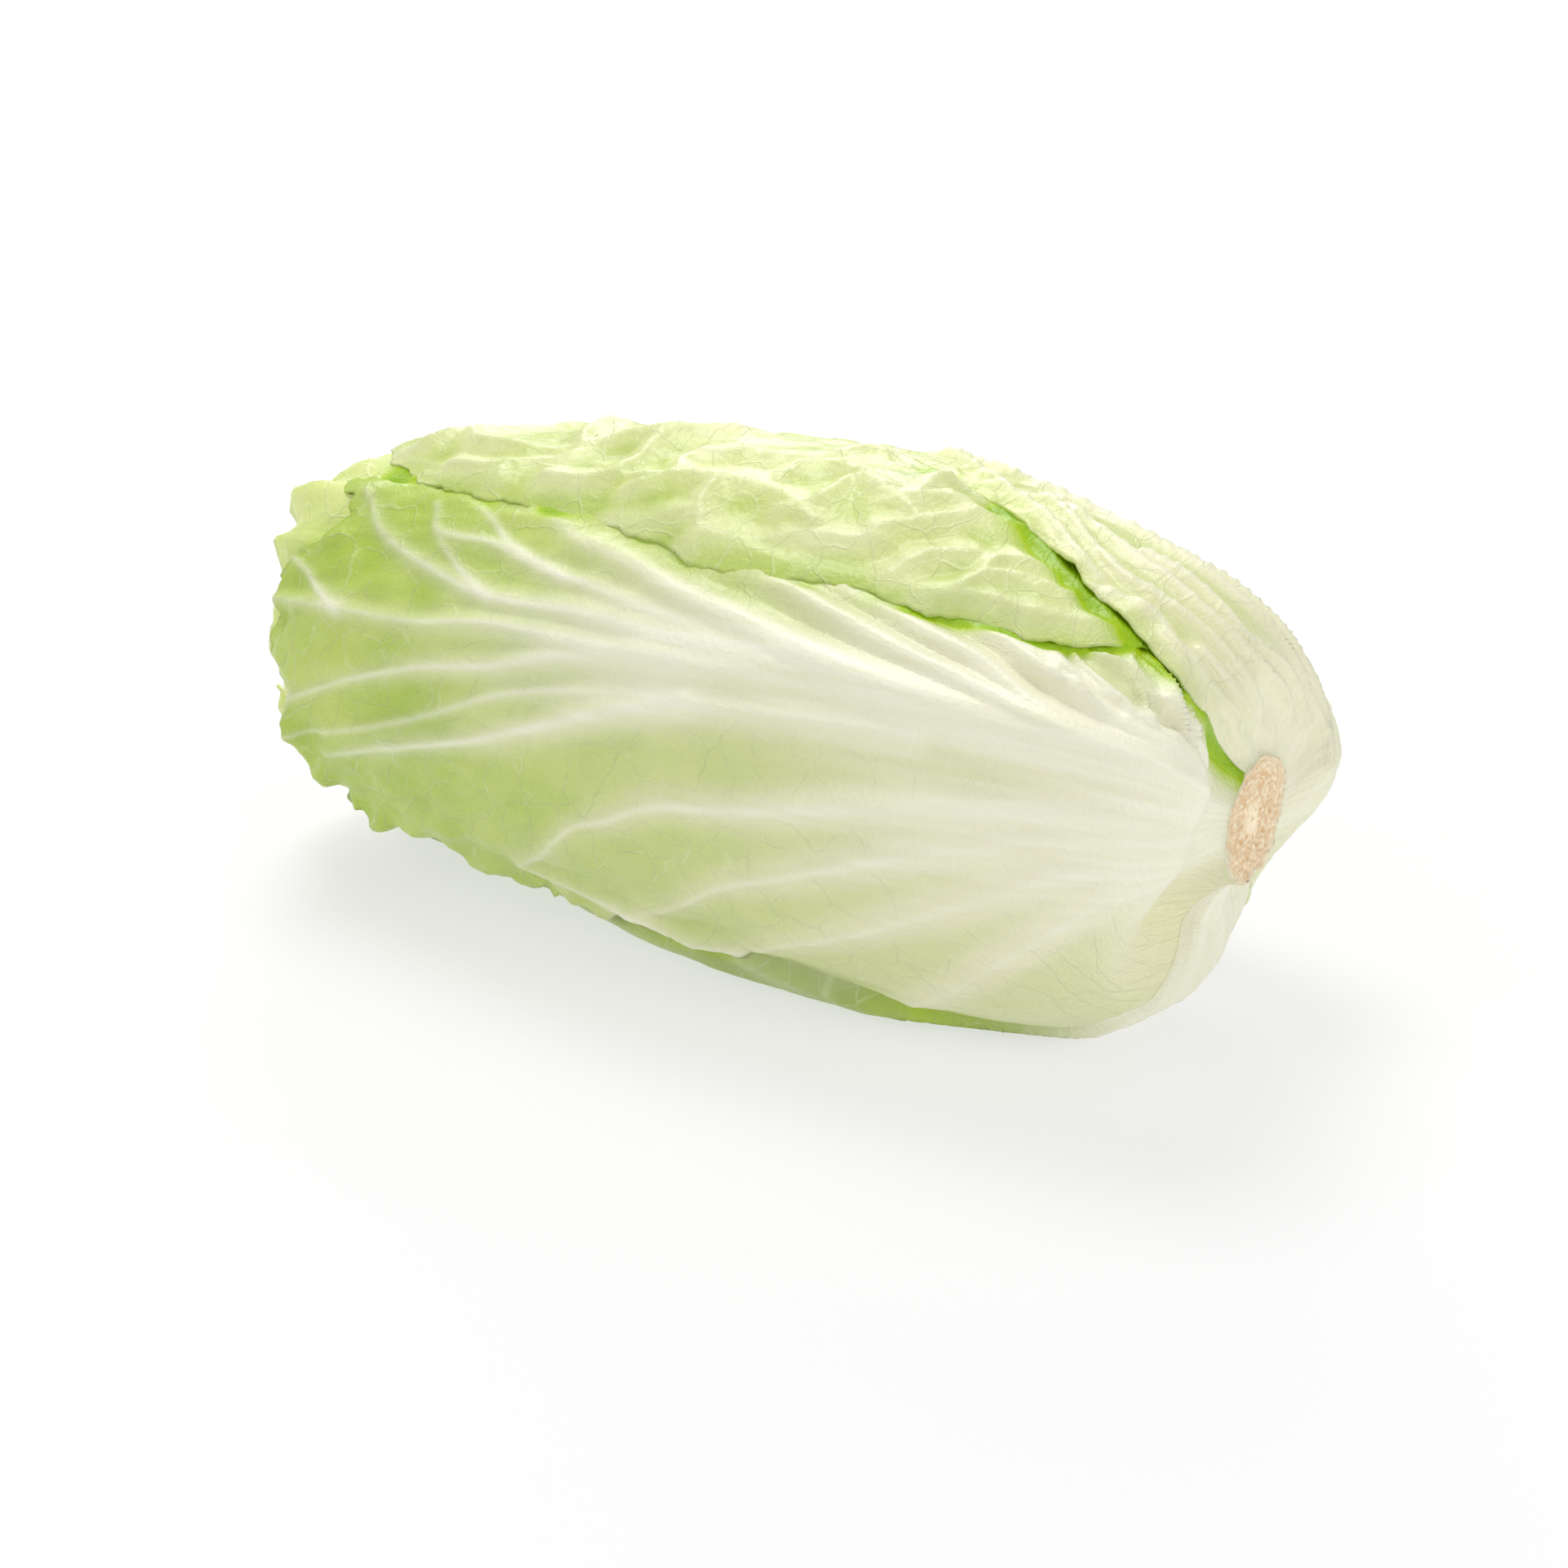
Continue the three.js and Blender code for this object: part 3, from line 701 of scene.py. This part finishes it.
# %% The look of the top leaf
TOP_CRESTS = [
    [(0.77, 0), (0.73, 11), (0.69, 13), (0.65, 11), (0.62, 6), (0.58, 2), (0.54, -6)],
    [(0.66, -9), (0.65, 4), (0.64, 14), (0.68, 20), (0.68, 26)],
    [(0.58, 4), (0.58, 18), (0.6, 24), (0.64, 24)],
    [(0.5, 6), (0.53, 8), (0.54, 14), (0.53, 20), (0.56, 26)],
    [(0.56, 22), (0.5, 20), (0.46, 20), (0.43, 22), (0.4, 27)],
    [(0.49, 20), (0.49, 28), (0.48, 34), (0.49, 42)],
    [(0.56, 35), (0.53, 34), (0.49, 30)],
    [(0.48, 34), (0.45, 34), (0.42, 32)],
    [(0.48, 8), (0.44, 5), (0.43, -4), (0.4, -12)],
    [(0.45, 16), (0.45, 10), (0.43, 6), (0.39, 10), (0.36, 14), (0.33, 18)],
    [(0.43, 25), (0.41, 21), (0.4, 11), (0.37, 14), (0.35, 12), (0.35, 3), (0.34, -4), (0.31, -4),
     (0.27, -7)],
    [(0.36, 15), (0.33, 8), (0.3, 8), (0.28, 6), (0.27, 0)],
    [(0.36, 27), (0.35, 22), (0.33, 17), (0.31, 9)],
    [(0.42, 31), (0.38, 29), (0.35, 26)],
    [(0.33, 33), (0.32, 28), (0.31, 24), (0.29, 22)],
    [(0.28, 33), (0.27, 27), (0.27, 20), (0.25, 16), (0.22, 13)],
    [(0.3, 36), (0.26, 32), (0.22, 31), (0.19, 28), (0.15, 22)],
    [(0.27, 26), (0.24, 22), (0.21, 21), (0.21, 15), (0.21, 10)],
    [(0.82, 14), (0.78, 8), (0.75, -4), (0.71, -14)],
    [(0.74, 20), (0.71, 22), (0.68, 20)],
]
TOP_VEINS = fan(OUTER_LEAVES[1], 6, height=1.0, width=(3.0, 0.9), halo=(9, 1.2))
print(len(TOP_CRESTS), "creases and", len(TOP_VEINS), "veins on the top leaf")


def top_look(along, around, to_side, to_end, seed):
    """Long creases, with smaller crests and hollows between them drawn out along the leaf."""
    p, q = flat_place(along, around)
    bend = noise(p / 50, q / 40, seed + 10)
    crest, gap = crest_relief(along, around, TOP_CRESTS, 7.0)
    crest = crest * (0.75 + 0.35 * noise(p / 30, q / 30, seed + 16))
    far = smoothstep(8, 20, gap)
    large = creased((p + 14 * bend) / 34, (q + 0.2 * p + 6 * bend) / 17, seed + 11, sharp=0.6)
    small = creased((p + 8 * bend) / 15, (q + 0.2 * p) / 9, seed + 12, sharp=0.6)
    slack = smoothstep(0.05, 0.2, along)
    relief = slack * (5.8 * crest + (0.8 + 2.6 * far) * (large - 0.4) + 0.8 * small - 2.4)
    relief = relief + 2.2 * noise(p / 40, q / 22, seed + 14)
    edge = margin_band(to_side, to_end, 7)
    relief = relief * (1 - 0.85 * edge)
    lift = margin_band(to_side, to_end, 4) * (0.2 + 1.0 * noise(p / 14, q / 30, seed + 13))
    height, veins = vein_relief(along, around, TOP_VEINS)
    # Paler along the crests, where white veins run, with painted highlight on the tops of the large creases
    # away from them.
    line = np.maximum(0.35 * np.exp(-((gap / 0.9) ** 2)), 0.25 * np.exp(-((gap / 5.0) ** 2)))
    line = np.maximum(line, far * smoothstep(0.8, 1.0, large) * 0.4)
    green = 0.75 + 0.25 * smoothstep(0.1, 0.5, along)
    patch = smoothstep(-0.2, 0.6, noise(p / 22, q / 13, seed + 15))
    # Painted shade: a deeper green in the hollows between the crests and near the margins.
    painted_hollow_shade = slack * smoothstep(2, 9, gap) * (0.25 + 0.75 * patch) * (1 - far * large)
    painted_hollow_shade = np.clip(painted_hollow_shade + 0.4 * margin_band(to_side, to_end, 14), 0, 1)
    return relief + 0.3 * height, lift, dict(rib=np.maximum(line, 0.4 * veins), green=green, painted_hollow_shade=painted_hollow_shade)


# %% The look of the back leaf
BACK_CRESTS = [
    [(0.3, -14), (0.27, -8), (0.23, 0), (0.19, 7), (0.16, 7), (0.12, 7), (0.08, 6), (0.04, -6), (0.03, -30)],
    [(0.3, -16), (0.22, -6), (0.17, -2), (0.11, 0), (0.07, -10), (0.05, -34), (0.04, -50)],
    [(0.2, -8), (0.14, -8), (0.1, -6), (0.08, -18), (0.06, -42), (0.05, -60)],
    [(0.2, 15), (0.15, 14), (0.13, 18), (0.1, 20), (0.07, 20), (0.03, 8)],
    [(0.11, 14), (0.07, 14), (0.04, 2), (0.03, -20)],
    [(0.36, -14), (0.32, -8), (0.27, -1), (0.23, 7), (0.2, 12)],
    [(0.4, -24), (0.3, -26), (0.2, -22), (0.12, -24), (0.07, -46), (0.06, -70)],
    [(0.3, -38), (0.18, -38), (0.1, -46), (0.07, -66), (0.05, -84)],
]
BACK_VEINS = fan(OUTER_LEAVES[0], 7, height=1.4, halo=(14, 1.6))
print(len(BACK_CRESTS), "ridges and", len(BACK_VEINS), "veins on the back leaf")


def back_look(along, around, to_side, to_end, seed):
    """Long ridges from the base, breaking up into creases towards the free margin."""
    p, q = flat_place(along, around)
    height, veins = vein_relief(along, around, BACK_VEINS)
    crest, gap = crest_relief(along, around, BACK_CRESTS, 3.4)
    bend = noise(p / 40, q / 30, seed + 10)
    ridges = creased((q + 5 * bend) / 9, p / 70, seed + 11, sharp=0.5)
    crumple = creased((p + 10 * bend) / 15, (q + 6 * bend) / 9, seed + 12, sharp=0.5)
    blade = smoothstep(0.15, 0.5, along)
    near = np.exp(-np.minimum(to_side, to_end) / 18)
    far = smoothstep(8, 20, gap)
    relief = 4.6 * crest - 3.4 + (0.3 + 0.8 * far) * (height + ridges * smoothstep(0.03, 0.12, along))
    relief = relief + (1.6 * blade + 2.6 * near) * (crumple - 0.4)
    relief = relief * smoothstep(0.01, 0.05, along)
    edge = margin_band(to_side, to_end, 6) * smoothstep(0.04, 0.12, along)
    relief = relief * (1 - 0.7 * edge)
    lift = edge * (0.6 + 2.2 * noise(p / 11, q / 30, seed + 13)) * (1 - 0.9 * smoothstep(0.26, 0.36, along))
    green = 0.15 + 0.6 * smoothstep(0.08, 0.5, along) + 0.5 * near * smoothstep(0.05, 0.2, along)
    # Painted shade: a deeper green beside the ridges and in the troughs of the crumple.
    painted_hollow_shade = smoothstep(1, 6, gap) * (0.7 - 0.4 * far) * smoothstep(0.03, 0.14, along)
    painted_hollow_shade = np.maximum(painted_hollow_shade, np.clip(0.9 - 1.3 * crumple, 0, 1) * np.maximum(blade, near) * 0.8)
    line = 0.7 * np.exp(-((gap / 1.2) ** 2))
    rib = np.maximum(np.maximum(line, 0.6 * veins), 0.8 * (1 - smoothstep(0.02, 0.12, along)))
    return relief, lift, dict(rib=rib * (1 - 0.5 * near), green=np.clip(green, 0, 1), painted_hollow_shade=painted_hollow_shade)


# %% The looks of the under leaf and of the inner leaves
UNDER_VEINS = fan(OUTER_LEAVES[3], 6, height=1.0)


def under_look(along, around, to_side, to_end, seed):
    """Flat veins and a crumpled margin."""
    p, q = flat_place(along, around)
    height, rib = vein_relief(along, around, UNDER_VEINS)
    crumple = creased(p / 20, q / 12, seed + 10, sharp=0.5)
    edge = margin_band(to_side, to_end, 12)
    relief = 0.6 * height + (0.6 + 1.4 * edge) * (crumple - 0.4)
    lift = margin_band(to_side, to_end, 6) * (0.8 + 1.6 * noise(p / 12, q / 30, seed + 11))
    flare = smoothstep(128, 146, around) * (1 - smoothstep(160, 185, around))
    flare = flare * smoothstep(0.12, 0.26, along)
    lift = lift + 4.5 * flare * (1 - smoothstep(0.5, 0.66, along))
    green = np.clip(smoothstep(0.1, 0.45, along) + 0.3 * edge * smoothstep(0.12, 0.26, along), 0, 1)
    rib = rib * (1 - 0.6 * edge) * (1 - 0.8 * flare)
    # Painted shade: a deeper green in the troughs of the crumpled margin and on the flared strip.
    painted_hollow_shade = np.clip(0.7 - crumple, 0, 1) * edge + 0.5 * flare
    return relief, lift, dict(rib=rib, green=np.maximum(green, flare), painted_hollow_shade=painted_hollow_shade)


def inner_look(along, around, to_side, to_end, seed):
    """Smooth below and frilled at the tip."""
    p, q = flat_place(along, around)
    crumple = creased(p / 15, q / 11, seed + 10, sharp=0.5)
    free = smoothstep(0.6, 0.9, along)
    ridges = creased(q / 8, p / 60, seed + 11)
    relief = free * 1.8 * (crumple - 0.3) + (1 - free) * 0.6 * ridges
    lift = margin_band(to_side, to_end, 9) * free * (0.4 + 2.4 * noise(p / 11, q / 11, seed + 12))
    rib = np.clip(1.1 - 1.2 * along, 0, 1) * 0.8
    green = 0.25 + 0.5 * smoothstep(0.5, 0.95, along)
    # Painted shade: a deeper green in the troughs of the frilled tips.
    return relief, lift, dict(rib=rib * (1 - free), green=green, painted_hollow_shade=np.clip(0.8 - crumple, 0, 1) * free)


LOOKS = dict(back_leaf=back_look, top_leaf=top_look, front_leaf=front_look, under_leaf=under_look)

# %% Build all the leaves
OUTER_GRID = (284, 164)  # points along and across, about a mm apart
INNER_GRID = (120, 84)
SEED_STEP = 100  # from one leaf's seeds to the next one's
sheets = []
for i, leaf in enumerate(LEAVES):
    outer = leaf["name"] in LOOKS
    rows, columns = OUTER_GRID if outer else INNER_GRID
    look = LOOKS.get(leaf["name"], inner_look)
    sheets.append(build_leaf(leaf, LEAVES[:i], rows, columns, SEED_STEP * (i + 1), look))

# %% [markdown]
# ## The bud and the stem
#
# The bud in the middle is a closed ovoid of small crinkled leaves, of which only the outside can be
# seen. The stem is a cone that was cut through with a knife: the cut is flat but fibrous, with a ring
# of pits where the sap vessels end, and its rim is bent by the scars of the leaves that were trimmed.

# %% The bud
def closed_tube_faces(rings, sides):
    """Faces of rings of points joined round, with one pole point before and one after them."""
    index = 1 + np.arange(rings * sides).reshape(rings, sides)
    turned = np.roll(index, -1, axis=1)
    quads = np.stack([index[:-1], index[1:], turned[1:], turned[:-1]], axis=-1).reshape(-1, 4)
    last = rings * sides + 1
    first_cap = np.stack([np.zeros(sides, int), index[0], turned[0]], axis=-1)
    last_cap = np.stack([np.full(sides, last), turned[-1], index[-1]], axis=-1)
    return [tuple(f) for f in quads] + [tuple(f) for f in first_cap] + [tuple(f) for f in last_cap]


def closed_tube(name, rings, fields):
    """A closed mesh piece through rings of points (ring, side, xyz) in mm, pole to pole."""
    count, sides = rings.shape[:2]
    points = np.concatenate([rings[:1].mean(1), rings.reshape(-1, 3), rings[-1:].mean(1)])
    full = {k: np.concatenate([v[:1].mean(1), v.reshape(-1), v[-1:].mean(1)]) for k, v in fields.items()}
    return mesh_piece(name, points, closed_tube_faces(count, sides), full)


bud_low, bud_high = (np.array(corner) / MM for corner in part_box("heart_bud"))
bud_middle, bud_half = (bud_low + bud_high) / 2, (bud_high - bud_low) / 2
BUD_SEED, PIT_SEED, GRAIN_SEED = 900, 911, 912
POLE_GAP = 0.02  # radians between a pole and its nearest ring
tilt = np.linspace(POLE_GAP, np.pi - POLE_GAP, 90)[:, None]
turn = np.linspace(0, 2 * np.pi, 96, endpoint=False)[None, :]
fold = creased(4 * np.cos(turn) + 7 + 0 * tilt, 4 * np.sin(turn) + 3 * np.cos(tilt) + 9, BUD_SEED)
swell = 0.92 + 0.07 * fold
bud_rings = bud_middle + bud_half * np.stack([
    np.cos(tilt) * 0.98 + 0 * turn,
    -swell * np.sin(tilt) * np.sin(turn),
    swell * np.sin(tilt) * np.cos(turn),
], axis=-1)
# Painted shade: a deeper green in the bud's folds.
bud_fields = dict(rib=0.4 * (1 - fold), green=0.4 + 0.3 * smoothstep(0.5, -0.8, np.cos(tilt)) + 0 * turn,
                  painted_hollow_shade=0.5 * (1 - fold), shade=0 * fold)
bud = closed_tube("heart_bud_sheet", bud_rings, bud_fields)
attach(bud, "root")
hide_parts("heart_bud")
print("bud", (2 * bud_half).round(1), "mm")

# %% The stem
STEM_TIP_RADIUS = 7.0
PIT_RINGS = 9  # cells of the pits' noise from the middle of the cut to its rim
DISH = 1.6  # mm that the middle of the cut sinks
PIT_DEPTH = 0.9  # mm
rim = rim_shape(turn)
face_share = np.linspace(1, 0.03, 40)[:, None]  # from the rim to the middle of the cut
face_x, face_y = face_share * np.cos(turn) * PIT_RINGS, face_share * np.sin(turn) * PIT_RINGS
pits = creased(face_x + 20, face_y + 20, PIT_SEED, sharp=1.5) * smoothstep(0.1, 0.4, face_share)
dish = DISH * (1 - face_share**2)
rough = 0.35 * noise(face_x * 1.7 + 30, face_y * 1.7 + 30, GRAIN_SEED)
cut_x = stem_high[0] - dish - PIT_DEPTH * pits - rough
side_share = np.linspace(0, 0.985, 60)[:, None]
side_x = stem_low[0] + (stem_high[0] - stem_low[0]) * side_share + 0 * turn
side_radius = STEM_TIP_RADIUS + (stem_radius - STEM_TIP_RADIUS) * side_share


def ring_points(x, radius):
    """Rings about the stem's axis."""
    return np.stack([x, -radius * np.sin(turn), AXIS_HEIGHT + radius * np.cos(turn)], axis=-1)


side_rings = ring_points(side_x, side_radius * (0.94 + (rim - 0.94) * side_share**3))
face_rings = ring_points(cut_x, stem_radius * 0.985 * rim * face_share)
stem_rings = np.concatenate([side_rings, face_rings])[::-1]
on_face = np.concatenate([0 * side_x, 1 + 0 * cut_x])[::-1]
pit_field = np.concatenate([0 * side_x, pits])[::-1]
rim_field = np.concatenate([smoothstep(0.9, 1, side_share) + 0 * turn,
                            smoothstep(0.78, 1.0, face_share) + 0 * turn])[::-1]
stem = closed_tube("stem_cut", stem_rings, dict(on_face=on_face, pits=pit_field, rim=rim_field))
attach(stem, "root")
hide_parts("stem")
print("stem of", stem_rings.shape[:2], "points")

# %% [markdown]
# ## What the leaves are made of
#
# A fresh cabbage leaf is wet tissue under a thin wax skin. Light enters it and scatters, so it looks soft,
# and the wax gives a broad weak gloss. The blade is green and the ribs hold no green. Light and shade are
# painted on top: a deeper green in the hollows as painted shade, and just under a neighbour's margin a bright
# green of painted light arriving through other leaves, darker with painted shade deeper in.

# %% Helpers for materials
def linear(hex_colour):
    """An sRGB hex colour as linear RGBA."""
    channels = [int(hex_colour[i:i + 2], 16) / 255 for i in (1, 3, 5)]
    return (*[c / 12.92 if c <= 0.04045 else ((c + 0.055) / 1.055) ** 2.4 for c in channels], 1)


def add(tree, kind, settings={}, **sockets):
    """A new node of a kind, with its settings, and its sockets set to a value or linked. A socket is
    named in lower case with _ for a space, or as i and its number."""
    made = tree.nodes.new("ShaderNode" + kind)
    for name, value in settings.items():
        setattr(made, name, value)
    by_name = {s.name.lower().replace(" ", "_"): s for s in reversed(made.inputs)}
    for name, value in sockets.items():
        socket = made.inputs[int(name[1:])] if name[1:].isdigit() else by_name[name]
        if isinstance(value, bpy.types.NodeSocket):
            tree.links.new(value, socket)
        else:
            socket.default_value = value
    return made


def new_material(name):
    """An empty node material, its tree and its output node."""
    material = bpy.data.materials.new(name)
    material.use_nodes = True
    material.node_tree.nodes.clear()
    return material, material.node_tree, material.node_tree.nodes.new("ShaderNodeOutputMaterial")


RGBA = {"data_type": "RGBA"}
# Painted light and shade of the slit under a neighbour's margin: the green of light through that leaf, and
# the darker green of shade deeper in.
SLIT_PAINTED_LIGHT_GREEN, SLIT_PAINTED_SHADE_GREEN = "#aaca06", "#8cb402"  # a leaf lit through its neighbour, and deeper in
RIB_SHADE, RIB_WHITE = "#e0e0bc", "#f6f4e6"
print("rib white in linear light", [round(c, 3) for c in linear(RIB_WHITE)])

# %% Cabbage leaf, grown and waxy
NET_CELLS = ((14, 0.03), (6, 0.04))  # mm across a cell of the vein net, and its lines' width


def cabbage_leaf(name, pale, green, painted_shade_green, cream, net_share=0.2):
    """Fresh leaf tissue: its grown colours, with painted light and shade on top. Attributes say where it is
    rib or blade, where a painted shade deepens the green of the hollows, and where it lies under a
    neighbour's margin, which is painted with the green of light through that leaf and with shade deeper in. A
    net of fine veins, cells 14 and 6 mm across, lies between the main ones."""
    material, tree, output = new_material(name)
    place = add(tree, "UVMap", {"uv_map": "place"}).outputs["UV"]
    field = {key: add(tree, "Attribute", {"attribute_name": key}).outputs["Fac"]
             for key in ("rib", "green", "painted_hollow_shade", "shade")}
    bend = add(tree, "TexNoise", vector=place, scale=9.0, detail=2.0).outputs["Color"]
    bent = add(tree, "VectorMath", {"operation": "MULTIPLY_ADD"}, i0=bend, i1=(0.09, 0.09, 0), i2=place)
    blade = add(tree, "Math", {"operation": "SUBTRACT", "use_clamp": True}, i0=1.0, i1=field["rib"])

    nets = []
    for cell_mm, width in NET_CELLS:
        cells = add(tree, "TexVoronoi", {"feature": "DISTANCE_TO_EDGE"}, vector=bent.outputs[0],
                    scale=MAP_UNIT / cell_mm)
        line = add(tree, "MapRange", {"interpolation_type": "SMOOTHSTEP"}, value=cells.outputs["Distance"],
                   from_min=0.0, from_max=width, to_min=1.0, to_max=0.0)
        nets.append(line.outputs[0])
    net = add(tree, "Math", {"operation": "MULTIPLY_ADD"}, i0=nets[1], i1=0.35, i2=nets[0]).outputs[0]
    net = add(tree, "Math", {"operation": "MULTIPLY"}, i0=net, i1=blade.outputs[0]).outputs[0]

    patches = add(tree, "TexNoise", vector=place, scale=3.3, detail=4.0).outputs["Fac"]
    patches = add(tree, "MapRange", value=patches, from_min=0.35, from_max=0.65).outputs[0]
    rays = add(tree, "UVMap", {"uv_map": "rays"}).outputs["UV"]
    streak_place = add(tree, "Mapping", vector=rays, scale=(2.0, 34, 1)).outputs[0]
    streaks = add(tree, "TexNoise", vector=streak_place, scale=1.0, detail=3.0).outputs["Fac"]

    tint = add(tree, "Mix", RGBA, i0=patches, i6=linear(pale), i7=linear(green)).outputs[2]
    tint = add(tree, "Mix", RGBA, i0=field["green"], i6=linear(cream), i7=tint).outputs[2]
    # Painted shade: the hollows are mixed towards the deeper green of painted shade.
    depth = add(tree, "Math", {"operation": "MULTIPLY"}, i0=field["painted_hollow_shade"], i1=0.62).outputs[0]
    white = add(tree, "Mix", RGBA, i0=streaks, i6=linear(RIB_SHADE), i7=linear(RIB_WHITE)).outputs[2]
    faint = add(tree, "Math", {"operation": "MULTIPLY"}, i0=net, i1=net_share).outputs[0]
    # Painted light and shade under a neighbour's margin: first the green of light through that leaf, then the
    # darker green of shade deeper in.
    near = add(tree, "MapRange", value=field["shade"], from_min=0.0, from_max=0.7).outputs[0]
    deep = add(tree, "MapRange", value=field["shade"], from_min=0.6, from_max=1.0).outputs[0]
    for share, over in ((depth, linear(painted_shade_green)), (field["rib"], white), (faint, linear("#eef3cf")),
                        (near, linear(SLIT_PAINTED_LIGHT_GREEN)), (deep, linear(SLIT_PAINTED_SHADE_GREEN))):
        tint = add(tree, "Mix", RGBA, i0=share, i6=tint, i7=over).outputs[2]

    fine = add(tree, "TexNoise", vector=place, scale=60.0, detail=3.0).outputs["Fac"]
    height = add(tree, "Math", {"operation": "MULTIPLY_ADD"}, i0=net, i1=0.5, i2=fine).outputs[0]
    height = add(tree, "Math", {"operation": "MULTIPLY_ADD"}, i0=streaks, i1=0.7, i2=height).outputs[0]
    bump = add(tree, "Bump", strength=0.6, distance=0.0007, height=height).outputs[0]
    tissue = add(tree, "BsdfPrincipled", base_color=tint, roughness=0.42, ior=1.4, normal=bump,
                 coat_weight=0.2, coat_roughness=0.22)
    tree.links.new(tissue.outputs[0], output.inputs["Surface"])
    return material


# The fourth colour of each leaf is the deeper green of the painted shade in its hollows.
leaf_tissues = dict(
    back_leaf=cabbage_leaf("cabbage_leaf_pale_ribbed", "#e1e3ac", "#ced87e", "#a8c238", "#e9e6c6"),
    top_leaf=cabbage_leaf("cabbage_leaf_crinkled", "#dcdf9e", "#c0cf66", "#94b426", "#e4e6b6"),
    front_leaf=cabbage_leaf("cabbage_leaf_smooth", "#bfce6a", "#a8be4e", "#a4c236", "#dfdfb0", 0.16),
    under_leaf=cabbage_leaf("cabbage_leaf_deep_green", "#a2b450", "#8ca034", "#90ac1c", "#e2e0c0"),
    inner_leaf=cabbage_leaf("cabbage_leaf_young", "#d6e256", "#c4d63c", "#b0cc22", "#f0f1dc"),
)
for sheet in sheets:
    key = sheet.name.removesuffix("_sheet")
    sheet.data.materials.append(leaf_tissues.get(key, leaf_tissues["inner_leaf"]))
bud.data.materials.append(leaf_tissues["inner_leaf"])
print(len(leaf_tissues), "leaf materials")

# %% Cabbage stem, cut with a knife
def cut_stem():
    """Pith and fibre, cut and dried to a dull tan, with brown specks in the pits and a brown rim.
    Away from the cut it is the same pale tissue as the ribs."""
    material, tree, output = new_material("cabbage_stem_cut")
    place = add(tree, "TexCoord").outputs["Object"]
    field = {key: add(tree, "Attribute", {"attribute_name": key}).outputs["Fac"]
             for key in ("on_face", "pits", "rim")}
    grain = add(tree, "TexNoise", vector=place, scale=420.0, detail=5.0, roughness=0.7).outputs["Fac"]
    cells = add(tree, "TexVoronoi", vector=place, scale=330.0).outputs["Distance"]
    specks = add(tree, "MapRange", value=cells, from_min=0.12, from_max=0.34, to_min=1.0, to_max=0.0)
    edge = add(tree, "Math", {"operation": "MULTIPLY"}, i0=field["rim"], i1=0.5).outputs[0]
    tan = linear("#fff6de")
    for share, over in ((grain, "#f6e2bc"), (specks.outputs[0], "#e0b886"), (field["pits"], "#e2bd90"),
                        (edge, "#e9dcbf")):
        tan = add(tree, "Mix", RGBA, i0=share, i6=tan, i7=linear(over)).outputs[2]
    colour = add(tree, "Mix", RGBA, i0=field["on_face"], i6=linear("#ecebd8"), i7=tan).outputs[2]
    bump = add(tree, "Bump", strength=0.6, distance=0.0008, height=grain).outputs[0]
    tissue = add(tree, "BsdfPrincipled", base_color=colour, roughness=0.75, ior=1.4, normal=bump)
    tree.links.new(tissue.outputs[0], output.inputs["Surface"])
    return material


stem.data.materials.append(cut_stem())
print("stem material", stem.data.materials[0].name)

# %% [markdown]
# ## Floor, light and camera
#
# The head lies on a plain white floor under a wide soft light from above and behind, which leaves the
# top nearly white, and a white surround that fills the shadows.

# %% Floor
FLOOR_HALF = 4.0  # m
floor_mesh = bpy.data.meshes.new("floor")
corners = [(x * FLOOR_HALF, y * FLOOR_HALF, 0) for x, y in ((-1, -1), (1, -1), (1, 1), (-1, 1))]
floor_mesh.from_pydata(corners, [], [(0, 1, 2, 3)])
floor = bpy.data.objects.new("floor", floor_mesh)
bpy.context.scene.collection.objects.link(floor)
material, tree, output = new_material("lit_white_acrylic")
card = add(tree, "BsdfPrincipled", base_color=linear("#9c9c9c"), roughness=0.9, specular_ior_level=0.1,
           emission_color=(1, 1, 1, 1), emission_strength=0.6)
tree.links.new(card.outputs[0], output.inputs["Surface"])
floor_mesh.materials.append(material)
floor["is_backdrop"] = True
print("floor", 2 * FLOOR_HALF, "m across")

# %% Light
world = bpy.data.worlds.new("white_surround")
world.use_nodes = True
bpy.context.scene.world = world
surround = world.node_tree.nodes["Background"]
surround.inputs["Color"].default_value = (1, 1, 1, 1)
surround.inputs["Strength"].default_value = 0.46
bpy.context.scene.view_settings.view_transform = "Standard"
HEAD_MIDDLE = Vector((0, 0, 0.05))


def soft_light(name, place, width, watts):
    """A square lamp of the given width in metres at a place, facing the middle of the head."""
    lamp = bpy.data.lights.new(name, "AREA")
    lamp.size = width
    lamp.energy = watts
    made = bpy.data.objects.new(name, lamp)
    aim = HEAD_MIDDLE - Vector(place)
    made.location = place
    made.rotation_euler = aim.to_track_quat("-Z", "Y").to_euler()
    bpy.context.scene.collection.objects.link(made)
    print(name, watts, "W")


soft_light("top_light", (-0.5, 0.35, 1.6), 0.8, 15)
soft_light("back_light", (-0.9, 1.3, 0.9), 0.8, 10)
soft_light("front_light", (-0.6, -1.4, 1.0), 1.0, 8)
soft_light("stem_light", (1.6, -0.2, 0.6), 0.8, 8)

# %% Camera
AZIMUTH, ELEVATION = np.radians(34), np.radians(23)
CAMERA_DISTANCE = 1.0
AIM = np.array((0.0039, 0, 0.0406))
away = np.array((
    np.sin(AZIMUTH) * np.cos(ELEVATION),
    -np.cos(AZIMUTH) * np.cos(ELEVATION),
    np.sin(ELEVATION),
))
lens = bpy.data.cameras.new("camera")
lens.lens = 85
lens.sensor_width = 36
camera = bpy.data.objects.new("camera", lens)
camera.location = AIM + CAMERA_DISTANCE * away
camera.rotation_euler = (-Vector(away)).to_track_quat("-Z", "Y").to_euler()
bpy.context.scene.collection.objects.link(camera)
bpy.context.scene.camera = camera
print("camera at", [round(c, 3) for c in camera.location], "m")
